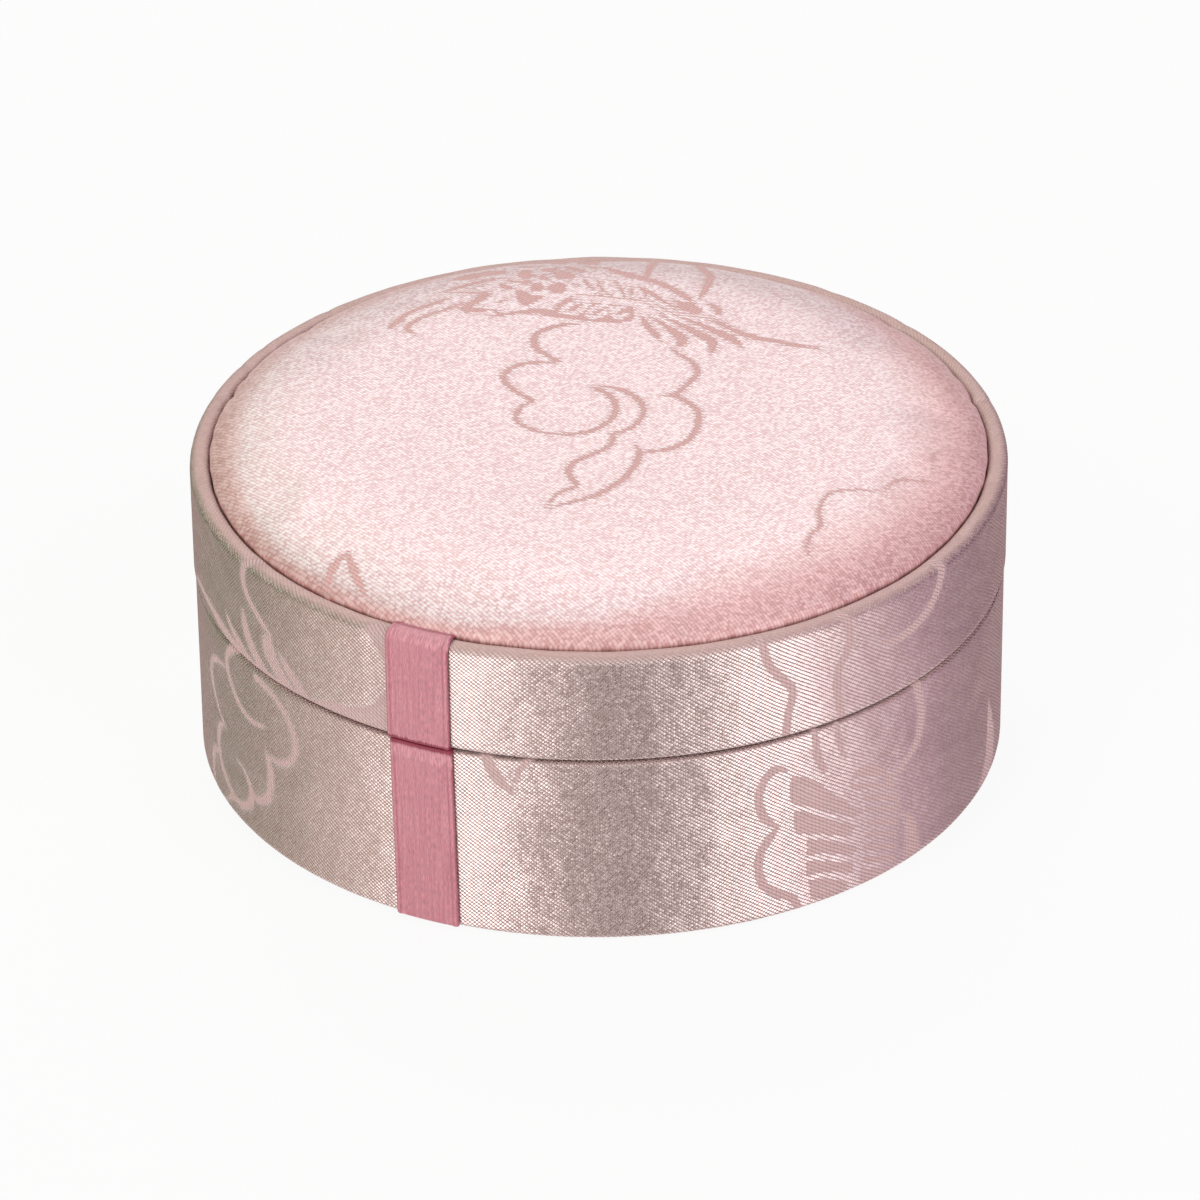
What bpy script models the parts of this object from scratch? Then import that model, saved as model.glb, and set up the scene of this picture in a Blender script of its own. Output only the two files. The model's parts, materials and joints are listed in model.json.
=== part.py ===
"""Round bangle box of fabric-covered board, with a padded lift-off lid.

Metres, +Z up. The origin is the middle of the underside, and the ribbon is at the front, at -Y.
Every piece is turned about the box's own axis. The driving sizes are named here, and each piece
is worked out from them, outwards to inwards and then upwards from the table.
"""

import math

import bpy

# Outside
OUTER_RADIUS = 0.055
BASE_SET_BACK = 0.0002
BASE_HEIGHT = 0.0277
RIM_ABOVE_DECK = 0.0044
SHOULDER_ROUND = 0.0005

# Thicknesses of board, card, cloth and paper
WALL_BOARD = 0.0015
NECK_BOARD = 0.0015
FLOOR_BOARD = 0.0020
DECK_BOARD = 0.0020
BROCADE = 0.0004
SATIN = 0.0003
UNDERSIDE_PAPER = 0.0003
RIBBON = 0.00035

# Gaps: between glued layers, under the lid's edge, and where the lid slides on the neck
GLUE_GAP = 0.0002
SEAM_GAP = 0.0003
SLIDE_GAP = 0.0003
NEST_GAP = 0.0003

# How far the cloth is turned in round the edges of the boards
BASE_TURN_UNDER = 0.0120
BASE_TURN_IN = 0.0130
LID_TURN_UP = 0.0060
PAPER_INSET = 0.0040
LINING_INSET = 0.0012

# Neck that the lid slides on
NECK_RISE = 0.0050
NECK_ROUND = 0.0003
NECK_CLOTH_BELOW_SEAM = 0.0060
HEAD_ROOM = 0.0004

# Cushions: card, foam at the edge, crown, how far the side draws in, turned-in cloth
PAD_CARD = 0.0010
PAD_FOAM_EDGE = 0.0003
PAD_CROWN = 0.0055
PAD_DRAW_IN = 0.0006
PAD_TUCK = 0.0090

FLOOR_CARD = 0.0012
FLOOR_FOAM_EDGE = 0.0010
FLOOR_CROWN = 0.0012
FLOOR_DRAW_IN = 0.0006
FLOOR_TUCK = 0.0090

CEILING_CARD = 0.0010
CEILING_FOAM_EDGE = 0.0006
CEILING_CROWN = 0.0010
CEILING_DRAW_IN = 0.0005
CEILING_TUCK = 0.0090

POST_RADIUS = 0.0240
POST_CARD = 0.0012
POST_FOAM_EDGE = 0.0100
POST_CROWN = 0.0036
POST_DRAW_IN = 0.0008
POST_TUCK = 0.0070

# Ribbon
RIBBON_WIDTH = 0.0090
RIBBON_OVER_RIM_DEG = 28.0
RIBBON_INTO_SEAM_DEG = 25.0

# Shapes of the crowns, as powers of a flattened curve, and the side's middle point, as shares
PAD_FULLNESS = 9.0
PANEL_FULLNESS = 8.0
POST_FULLNESS = 5.0
SIDE_DRAW_SHARE = 0.25
SIDE_HEIGHT_SHARE = 0.5

# How finely round pieces are turned
TURN_STEPS = 40
POST_STEPS = 32
RIBBON_STEPS = 3
CORNER_STEPS = 2
CROWN_STEPS = 6
MERGE = 0.00001

# Radii of the lid, from its cloth inwards
LID_BOARD_OUTER = OUTER_RADIUS - BROCADE - GLUE_GAP
LID_BOARD_INNER = LID_BOARD_OUTER - WALL_BOARD
LID_TURN_IN_OUTER = LID_BOARD_INNER - GLUE_GAP
LID_TURN_IN_INNER = LID_TURN_IN_OUTER - BROCADE
LID_LINING_OUTER = LID_TURN_IN_INNER - GLUE_GAP
LID_LINING_INNER = LID_LINING_OUTER - SATIN
CEILING_RADIUS = LID_LINING_INNER - NEST_GAP
PAD_RADIUS = LID_TURN_IN_INNER - NEST_GAP

# Radii of the base, from its cloth inwards
BASE_RADIUS = OUTER_RADIUS - BASE_SET_BACK
BASE_BOARD_OUTER = BASE_RADIUS - BROCADE - GLUE_GAP
BASE_BOARD_INNER = BASE_BOARD_OUTER - WALL_BOARD
BASE_TURN_IN_INNER = BASE_BOARD_INNER - GLUE_GAP - BROCADE
NECK_CLOTH_OUTER = min(LID_LINING_INNER - SLIDE_GAP, BASE_TURN_IN_INNER - GLUE_GAP)
NECK_BOARD_OUTER = NECK_CLOTH_OUTER - SATIN - GLUE_GAP
NECK_BOARD_INNER = NECK_BOARD_OUTER - NECK_BOARD
NECK_CLOTH_INNER = NECK_BOARD_INNER - GLUE_GAP - SATIN
FLOOR_RADIUS = NECK_CLOTH_INNER - NEST_GAP

# Heights of the base, from the table upwards
COVER_BOTTOM = UNDERSIDE_PAPER + GLUE_GAP
BOARD_BOTTOM = COVER_BOTTOM + BROCADE + GLUE_GAP
FLOOR_TOP = BOARD_BOTTOM + FLOOR_BOARD
FLOOR_SEAT = FLOOR_TOP + GLUE_GAP
BASE_BOARD_TOP = BASE_HEIGHT - BROCADE - GLUE_GAP
NECK_TOP = BASE_HEIGHT + NECK_RISE
NECK_BOARD_TOP = NECK_TOP - SATIN - GLUE_GAP


def cushion_depth(cloth, card, foam_edge, crown):
    """Whole depth of a cushion, from its seat to the top of its crown."""
    return cloth + GLUE_GAP + card + GLUE_GAP + foam_edge + crown + GLUE_GAP + cloth


POST_SEAT = FLOOR_SEAT + cushion_depth(SATIN, FLOOR_CARD, FLOOR_FOAM_EDGE, FLOOR_CROWN) + GLUE_GAP

# Heights of the lid, from the seam upwards
LID_BOTTOM = BASE_HEIGHT + SEAM_GAP
LID_BOARD_BOTTOM = LID_BOTTOM + BROCADE + GLUE_GAP
CEILING_SEAT = (
    NECK_TOP + HEAD_ROOM + cushion_depth(SATIN, CEILING_CARD, CEILING_FOAM_EDGE, CEILING_CROWN)
)
DECK_BOTTOM = CEILING_SEAT + GLUE_GAP
DECK_TOP = DECK_BOTTOM + DECK_BOARD
PAD_SEAT = DECK_TOP + GLUE_GAP
RIM_TOP = DECK_TOP + RIM_ABOVE_DECK
LID_BOARD_TOP = RIM_TOP - BROCADE - GLUE_GAP


def clear_scene():
    """Remove what a new file starts with."""
    for item in list(bpy.data.objects):
        bpy.data.objects.remove(item, do_unlink=True)


def make_material(name, colour, roughness, sheen=0.0):
    """Plain dielectric finish in one colour."""
    material = bpy.data.materials.new(name)
    material.use_nodes = True
    shader = material.node_tree.nodes["Principled BSDF"]
    shader.inputs["Base Color"].default_value = (*colour, 1.0)
    shader.inputs["Roughness"].default_value = roughness
    shader.inputs["Metallic"].default_value = 0.0
    shader.inputs["Sheen Weight"].default_value = sheen
    material.diffuse_color = (*colour, 1.0)
    return material


def make_materials():
    """Every finish of the box."""
    return {
        "brocade": make_material("Pink brocade", (0.72, 0.52, 0.51), 0.45, 0.2),
        "satin": make_material("Pale pink satin", (0.86, 0.72, 0.70), 0.38, 0.2),
        "ribbon": make_material("Rose ribbon", (0.62, 0.21, 0.26), 0.50, 0.2),
        "board": make_material("Grey board", (0.42, 0.39, 0.35), 0.90),
        "foam": make_material("White foam", (0.86, 0.84, 0.79), 0.95),
        "paper": make_material("Underside paper", (0.80, 0.66, 0.64), 0.80),
    }


def arc(centre, radius, start_deg, end_deg):
    """Points of a round corner, in the plane of radius and height."""
    points = []
    for step in range(CORNER_STEPS + 1):
        angle = math.radians(start_deg + (end_deg - start_deg) * step / CORNER_STEPS)
        points.append((centre[0] + radius * math.cos(angle), centre[1] + radius * math.sin(angle)))
    return points


def profile_mesh(name, points, closed):
    """A mesh of edges along a profile, standing in the XZ plane."""
    mesh = bpy.data.meshes.new(name)
    edges = [(index, index + 1) for index in range(len(points) - 1)]
    if closed:
        edges.append((len(points) - 1, 0))
    mesh.from_pydata([(radius, 0.0, height) for radius, height in points], edges, [])
    return mesh


def turn(piece, steps, angle=math.tau):
    """Turn a profile about the box's axis."""
    screw = piece.modifiers.new("Turn", "SCREW")
    screw.axis = "Z"
    screw.angle = angle
    screw.steps = steps
    screw.render_steps = steps
    screw.use_merge_vertices = True
    screw.merge_threshold = MERGE
    screw.use_smooth_shade = False


def add_piece(box, name, points, material, body, closed=False, steps=TURN_STEPS, angle=math.tau):
    """A turned piece that hangs from its body's empty."""
    mesh = profile_mesh(name, points, closed)
    mesh.materials.append(material)
    piece = bpy.data.objects.new(name, mesh)
    box.objects.link(piece)
    piece.parent = body
    turn(piece, steps, angle)
    return piece


def thicken(piece, thickness):
    """Give a turned sheet its cloth's thickness, behind the face that shows."""
    solidify = piece.modifiers.new("Cloth", "SOLIDIFY")
    solidify.thickness = thickness
    solidify.offset = -1.0
    solidify.use_even_offset = True
    solidify.use_rim = True


def ring_outline(inner, outer, bottom, top, top_round=0.0):
    """Section of a ring of board, with or without rounded top corners."""
    if top_round > 0.0:
        outer_corner = arc((outer - top_round, top - top_round), top_round, 90.0, 0.0)
        inner_corner = arc((inner + top_round, top - top_round), top_round, 180.0, 90.0)
        return outer_corner + [(outer, bottom), (inner, bottom)] + inner_corner
    return [(outer, top), (outer, bottom), (inner, bottom), (inner, top)]


def disc_outline(radius, bottom, top):
    """Half section of a flat disc, from the axis round to the axis."""
    return [(0.0, top), (radius, top), (radius, bottom), (0.0, bottom)]


def crown(radius, edge, rise, fullness):
    """A domed top that stays nearly level and rolls off close to its edge.

    The curve is (r / radius) ** fullness + (z / rise) ** 2 = 1, from the axis out to the edge.
    """
    points = [(0.0, edge + rise)]
    for step in range(1, CROWN_STEPS + 1):
        angle = math.radians(90.0) * step / CROWN_STEPS
        along = math.sin(angle) ** (2.0 / fullness)
        above = math.cos(angle) if step < CROWN_STEPS else 0.0
        points.append((radius * along, edge + rise * above))
    return points


def seated(points, seat, hangs):
    """Put a cushion's profile on its seat, or turn it over and hang it from there."""
    if hangs:
        return [(radius, seat - height) for radius, height in reversed(points)]
    return [(radius, seat + height) for radius, height in points]


def add_cushion(box, name, body, cloth_material, materials, radius, seat, cloth, card, foam_edge,
                rise, draw_in, tuck, fullness=PANEL_FULLNESS, hangs=False, steps=TURN_STEPS):
    """Card, foam and the cloth drawn over both and turned in behind the card."""
    fold = cloth + GLUE_GAP
    card_radius = radius - draw_in - fold
    card_bottom = fold
    card_top = card_bottom + card
    foam_bottom = card_top + GLUE_GAP
    foam_side = foam_bottom + foam_edge
    cloth_side = foam_side + fold

    outline = seated(disc_outline(card_radius, card_bottom, card_top), seat, hangs)
    add_piece(box, name + "_card", outline, materials["board"], body, steps=steps)

    foam = crown(radius - fold, foam_side, rise, fullness)
    foam += [(card_radius, foam_bottom), (0.0, foam_bottom)]
    add_piece(box, name + "_foam", seated(foam, seat, hangs), materials["foam"], body, steps=steps)

    path = crown(radius, cloth_side, rise, fullness)
    middle = fold + (cloth_side - fold) * SIDE_HEIGHT_SHARE
    path.append((radius - draw_in * SIDE_DRAW_SHARE, middle))
    path += arc((card_radius, fold), fold, 0.0, -90.0)
    path.append((card_radius - tuck, 0.0))
    cover = add_piece(
        box, name + "_cover", seated(path, seat, hangs), cloth_material, body, steps=steps
    )
    thicken(cover, cloth)


def add_base_boards(box, body, materials):
    """The wall ring and the floor disc inside its foot."""
    board = materials["board"]
    wall = ring_outline(BASE_BOARD_INNER, BASE_BOARD_OUTER, BOARD_BOTTOM, BASE_BOARD_TOP)
    add_piece(box, "base_wall_board", wall, board, body, closed=True)
    floor = disc_outline(BASE_BOARD_INNER - GLUE_GAP, BOARD_BOTTOM, FLOOR_TOP)
    add_piece(box, "base_floor_board", floor, board, body)


def add_base_cover(box, body, materials):
    """Brocade from inside the wall, over its top edge, down and under the floor."""
    fold = BROCADE + GLUE_GAP
    path = [(BASE_TURN_IN_INNER, BASE_HEIGHT - BASE_TURN_IN)]
    path += arc((BASE_BOARD_INNER, BASE_BOARD_TOP), fold, 180.0, 90.0)
    path += arc((BASE_BOARD_OUTER, BASE_BOARD_TOP), fold, 90.0, 0.0)
    path += arc((BASE_BOARD_OUTER, BOARD_BOTTOM), fold, 0.0, -90.0)
    path.append((BASE_RADIUS - BASE_TURN_UNDER, COVER_BOTTOM))
    cover = add_piece(box, "base_wall_cover", path, materials["brocade"], body)
    thicken(cover, BROCADE)


def add_underside(box, body, materials):
    """Paper disc that hides the turned-under brocade; the box stands on it."""
    outline = disc_outline(BASE_RADIUS - PAPER_INSET, 0.0, UNDERSIDE_PAPER)
    add_piece(box, "underside_sheet", outline, materials["paper"], body)


def add_neck(box, body, materials):
    """The inner ring that the lid slides on, lined with satin over its top edge."""
    ring = ring_outline(NECK_BOARD_INNER, NECK_BOARD_OUTER, FLOOR_SEAT, NECK_BOARD_TOP, NECK_ROUND)
    add_piece(box, "neck_board", ring, materials["board"], body, closed=True)
    fold = NECK_ROUND + GLUE_GAP + SATIN
    height = NECK_BOARD_TOP - NECK_ROUND
    path = [(NECK_CLOTH_INNER, FLOOR_SEAT)]
    path += arc((NECK_BOARD_INNER + NECK_ROUND, height), fold, 180.0, 90.0)
    path += arc((NECK_BOARD_OUTER - NECK_ROUND, height), fold, 90.0, 0.0)
    path.append((NECK_CLOTH_OUTER, BASE_HEIGHT - NECK_CLOTH_BELOW_SEAM))
    lining = add_piece(box, "neck_lining", path, materials["satin"], body)
    thicken(lining, SATIN)


def add_lid_boards(box, body, materials):
    """The lid's wall ring and the deck disc that closes it."""
    board = materials["board"]
    wall = ring_outline(
        LID_BOARD_INNER, LID_BOARD_OUTER, LID_BOARD_BOTTOM, LID_BOARD_TOP, SHOULDER_ROUND
    )
    add_piece(box, "lid_wall_board", wall, board, body, closed=True)
    deck = disc_outline(LID_BOARD_INNER - GLUE_GAP, DECK_BOTTOM, DECK_TOP)
    add_piece(box, "lid_deck_board", deck, board, body)


def add_lid_cover(box, body, materials):
    """Brocade from the deck up and over the rim, down the wall and up inside its lower edge."""
    fold = BROCADE + GLUE_GAP
    rim_fold = SHOULDER_ROUND + fold
    height = LID_BOARD_TOP - SHOULDER_ROUND
    path = [(LID_TURN_IN_INNER, PAD_SEAT)]
    path += arc((LID_BOARD_INNER + SHOULDER_ROUND, height), rim_fold, 180.0, 90.0)
    path += arc((LID_BOARD_OUTER - SHOULDER_ROUND, height), rim_fold, 90.0, 0.0)
    path += arc((LID_BOARD_OUTER, LID_BOARD_BOTTOM), fold, 0.0, -90.0)
    path += arc((LID_BOARD_INNER, LID_BOARD_BOTTOM), fold, -90.0, -180.0)
    path.append((LID_TURN_IN_INNER, LID_BOTTOM + LID_TURN_UP))
    cover = add_piece(box, "lid_wall_cover", path, materials["brocade"], body)
    thicken(cover, BROCADE)


def add_lid_lining(box, body, materials):
    """Satin band inside the lid's wall, over the turned-up brocade."""
    band = ring_outline(
        LID_LINING_INNER, LID_LINING_OUTER, LID_BOTTOM + LINING_INSET, CEILING_SEAT
    )
    add_piece(box, "lid_wall_lining", band, materials["satin"], body, closed=True)


def add_ribbon(box, name, path, body, materials):
    """A strip that lies on the brocade at the front, along a profile."""
    angle = RIBBON_WIDTH / OUTER_RADIUS
    strip = add_piece(
        box, name, path, materials["ribbon"], body, steps=RIBBON_STEPS, angle=angle
    )
    strip.rotation_euler.z = -math.radians(90.0) - angle / 2.0
    thicken(strip, RIBBON)


def add_ribbons(box, base, lid, materials):
    """The upright band, cut at the seam and folded over the rim and into the seam."""
    proud = GLUE_GAP + RIBBON
    fold = BROCADE + GLUE_GAP + proud
    rim_fold = SHOULDER_ROUND + fold
    rim_height = LID_BOARD_TOP - SHOULDER_ROUND

    over = 90.0 + RIBBON_OVER_RIM_DEG
    path = arc((LID_BOARD_INNER + SHOULDER_ROUND, rim_height), rim_fold, over, 90.0)
    path += arc((LID_BOARD_OUTER - SHOULDER_ROUND, rim_height), rim_fold, 90.0, 0.0)
    path += arc((LID_BOARD_OUTER, LID_BOARD_BOTTOM), fold, 0.0, -RIBBON_INTO_SEAM_DEG)
    add_ribbon(box, "lid_ribbon", path, lid, materials)

    path = arc((BASE_BOARD_OUTER, BASE_BOARD_TOP), fold, RIBBON_INTO_SEAM_DEG, 0.0)
    path += arc((BASE_BOARD_OUTER, BOARD_BOTTOM), fold, 0.0, -RIBBON_INTO_SEAM_DEG)
    add_ribbon(box, "base_ribbon", path, base, materials)


def add_cushions(box, base, lid, materials):
    """Floor cushion, post, ceiling panel and the crowned pad on the lid."""
    satin = materials["satin"]
    add_cushion(
        box, "floor_cushion", base, satin, materials, FLOOR_RADIUS, FLOOR_SEAT, SATIN,
        FLOOR_CARD, FLOOR_FOAM_EDGE, FLOOR_CROWN, FLOOR_DRAW_IN, FLOOR_TUCK,
    )
    add_cushion(
        box, "post", base, satin, materials, POST_RADIUS, POST_SEAT, SATIN,
        POST_CARD, POST_FOAM_EDGE, POST_CROWN, POST_DRAW_IN, POST_TUCK,
        fullness=POST_FULLNESS, steps=POST_STEPS,
    )
    add_cushion(
        box, "ceiling", lid, satin, materials, CEILING_RADIUS, CEILING_SEAT, SATIN,
        CEILING_CARD, CEILING_FOAM_EDGE, CEILING_CROWN, CEILING_DRAW_IN, CEILING_TUCK,
        hangs=True,
    )
    add_cushion(
        box, "top_pad", lid, materials["brocade"], materials, PAD_RADIUS, PAD_SEAT, BROCADE,
        PAD_CARD, PAD_FOAM_EDGE, PAD_CROWN, PAD_DRAW_IN, PAD_TUCK, fullness=PAD_FULLNESS,
    )


def add_body(box, name):
    """An empty on the axis that the lid lifts along."""
    body = bpy.data.objects.new(name, None)
    box.objects.link(body)
    return body


def main():
    """Build the box."""
    clear_scene()
    box = bpy.data.collections.new("Bangle box")
    bpy.context.scene.collection.children.link(box)
    materials = make_materials()
    base = add_body(box, "base_frame")
    lid = add_body(box, "lid_frame")
    add_underside(box, base, materials)
    add_base_boards(box, base, materials)
    add_base_cover(box, base, materials)
    add_neck(box, base, materials)
    add_lid_boards(box, lid, materials)
    add_lid_cover(box, lid, materials)
    add_lid_lining(box, lid, materials)
    add_ribbons(box, base, lid, materials)
    add_cushions(box, base, lid, materials)


main()
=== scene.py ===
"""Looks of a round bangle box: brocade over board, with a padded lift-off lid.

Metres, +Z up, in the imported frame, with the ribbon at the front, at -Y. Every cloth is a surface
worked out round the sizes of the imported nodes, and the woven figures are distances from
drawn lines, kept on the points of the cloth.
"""

import json
import math

import bpy
import numpy as np
from mathutils import Matrix, Vector


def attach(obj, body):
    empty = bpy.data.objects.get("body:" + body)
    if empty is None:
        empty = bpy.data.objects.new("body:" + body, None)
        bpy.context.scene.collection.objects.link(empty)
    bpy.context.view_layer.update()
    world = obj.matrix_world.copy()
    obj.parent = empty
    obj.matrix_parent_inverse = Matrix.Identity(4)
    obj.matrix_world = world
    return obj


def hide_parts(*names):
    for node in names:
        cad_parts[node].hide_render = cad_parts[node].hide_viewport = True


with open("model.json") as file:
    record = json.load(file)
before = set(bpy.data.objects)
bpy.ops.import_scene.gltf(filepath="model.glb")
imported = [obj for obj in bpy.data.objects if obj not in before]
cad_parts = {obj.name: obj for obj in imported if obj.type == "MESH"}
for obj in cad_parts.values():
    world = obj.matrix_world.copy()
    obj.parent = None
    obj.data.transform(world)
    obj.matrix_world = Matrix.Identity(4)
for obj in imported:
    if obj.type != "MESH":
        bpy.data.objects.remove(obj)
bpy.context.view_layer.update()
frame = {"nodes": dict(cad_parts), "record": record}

MM = 0.001


def reach(node):
    """(inner radius, outer radius, bottom, top) of a turned CAD node."""
    vertices = frame["nodes"][node].data.vertices
    places = np.empty(len(vertices) * 3)
    vertices.foreach_get("co", places)
    places = places.reshape(-1, 3)
    radii = np.hypot(places[:, 0], places[:, 1])
    return radii.min(), radii.max(), places[:, 2].min(), places[:, 2].max()


# Cloths, glue and where they lie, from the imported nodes
BROCADE = 0.4 * MM
SATIN = 0.3 * MM
RIBBON = 0.35 * MM
GLUE = 0.2 * MM
FINE = 0.38 * MM
COARSE = 1.4 * MM
# Spacing of the wall covers' points round the box
AROUND = FINE * 1.05

LID_BOARD = reach("lid_wall_board")
LID_COVER = reach("lid_wall_cover")
BASE_BOARD = reach("base_wall_board")
BASE_COVER = reach("base_wall_cover")
NECK_BOARD = reach("neck_board")
NECK_COVER = reach("neck_lining")
OUTER_RADIUS = LID_COVER[1]

RIM_ROUND = 0.5 * MM
NECK_ROUND = 0.3 * MM
LID_TURN_UP = 6.0 * MM
BASE_TURN_IN = 12.0 * MM
NECK_COVER_FOOT = 6.0 * MM

# The brocade of the pad is cut at this angle to the ribbon
PAD_CLOTH_DEG = 25.1
PAD_WEAVE_DEG = 11.6


# Woven figures, in millimetres. A stroke is (widths, points), and a patch is its outline.
PAD_STROKES = [
    # Cloud in the middle: scallops down its left side
    ((0.9, 1.3, 1.4, 1.4, 1.3, 1.0),
     ((-2.6, 26.6), (-5.1, 26.3), (-8, 24.4), (-8.7, 21.6), (-7.8, 19), (-5.1, 15.9))),
    ((0.8, 1.3, 1.3, 1.2, 1.3, 1.0),
     ((-5.3, 15.9), (-9.8, 15.6), (-12, 14), (-12.8, 11.3), (-11.2, 8), (-8.7, 5.1))),
    # Belly and inner hook
    ((0.8, 1.2, 1.1, 1.1, 1.1, 1.1, 1.2, 1.2, 1.2, 1.3, 1.4, 1.4, 1.2, 0.9, 0.4),
     ((-8.9, 5.1), (-10.6, 3), (-11, 0), (-9.8, -2), (-7.5, -3.5), (-4.5, -4.1), (-2, -3.7),
      (0, -2.5), (1.5, -0.5), (2.3, 1.5), (2.3, 4), (1.5, 6.5), (0.3, 7.9), (-0.7, 8.7),
      (-1.2, 9.1))),
    # Outer line of the crescent
    ((0.4, 1.0, 1.2, 1.3, 1.3, 1.3, 1.2, 1.1, 1.0),
     ((-0.7, 8.9), (1.2, 8.8), (3.2, 7.9), (5, 6), (6, 3.5), (6, 1), (5.3, -1), (4, -3),
      (1.7, -4.2))),
    # Tail
    ((1.0, 1.2, 1.2, 1.2, 1.2, 1.3, 1.3, 1.3, 1.2, 1.1, 1.0, 0.9, 0.5),
     ((1.8, -4.2), (2, -5.6), (1.3, -7.5), (0, -9), (-2, -10.5), (-3.4, -12), (-4, -14),
      (-3.6, -16), (-2.9, -17.5), (-3.5, -18.5), (-5, -19.5), (-6, -21), (-7, -24))),
    ((0.5, 1.0, 1.2, 1.3, 1.4, 1.4, 1.3, 1.1, 0.6),
     ((-7, -24), (-4, -22.4), (-1, -20.9), (1, -19), (3, -16.5), (4.5, -13.5), (5.3, -10.5),
      (5.3, -8.5), (4.9, -6.8))),
    # Right side, up to the neck of the cloud
    ((0.7, 1.1, 1.3, 1.3, 1.3, 1.3, 1.3, 1.3, 1.2, 0.9),
     ((5.5, -8.8), (7.5, -8.9), (10, -8), (12, -6), (13, -3.5), (13.5, -0.5), (13.3, 2), (12, 4.5),
      (10.5, 6), (9, 6.2))),
    ((0.8, 1.1, 1.2, 1.2, 1.2, 1.1, 1.0, 0.6),
     ((9.2, 6.2), (10.7, 7), (12, 9), (13.3, 11.5), (13.5, 13.5), (12.8, 15.5), (11.3, 17.5),
      (10, 19.3))),
    # Cloud by the right edge
    ((0.8, 1.0, 1.0, 1.1, 1.1, 1.0, 1.0, 1.0, 0.9, 0.6),
     ((27.2, -35), (27, -33), (27.7, -30.5), (28.8, -28.5), (28.8, -25.5), (29.2, -23), (30, -21),
      (31.5, -19.8), (34, -19.4), (37.8, -19.3))),
    ((0.6, 1.0, 1.0, 0.9, 0.8),
     ((37.8, -19.4), (38.3, -17.5), (39.5, -16), (42, -15.3), (44, -15))),
    ((0.7, 0.8, 0.8, 0.8, 0.6), ((44.3, -13), (44.5, -9.5), (45.3, -7.5), (48, -6), (50, -5.8))),
    # Leaf by the front left edge
    ((0.9, 1.4, 1.5, 0.8), ((-35.6, -39.0), (-35.3, -36.6), (-34.5, -34.2), (-32.9, -32.3))),
    ((0.8, 1.5, 1.4, 1.1), ((-32.9, -32.3), (-32.3, -34.8), (-31.5, -37.6), (-30.4, -40.4))),
    # Small leaf at the front
    ((0.5, 0.8, 0.5), ((8, -47.5), (9.2, -48.6), (10, -50.4))),
    ((0.4, 0.8, 0.5), ((11.5, -46.6), (11, -48.4), (11.4, -50.2))),
]

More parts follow.
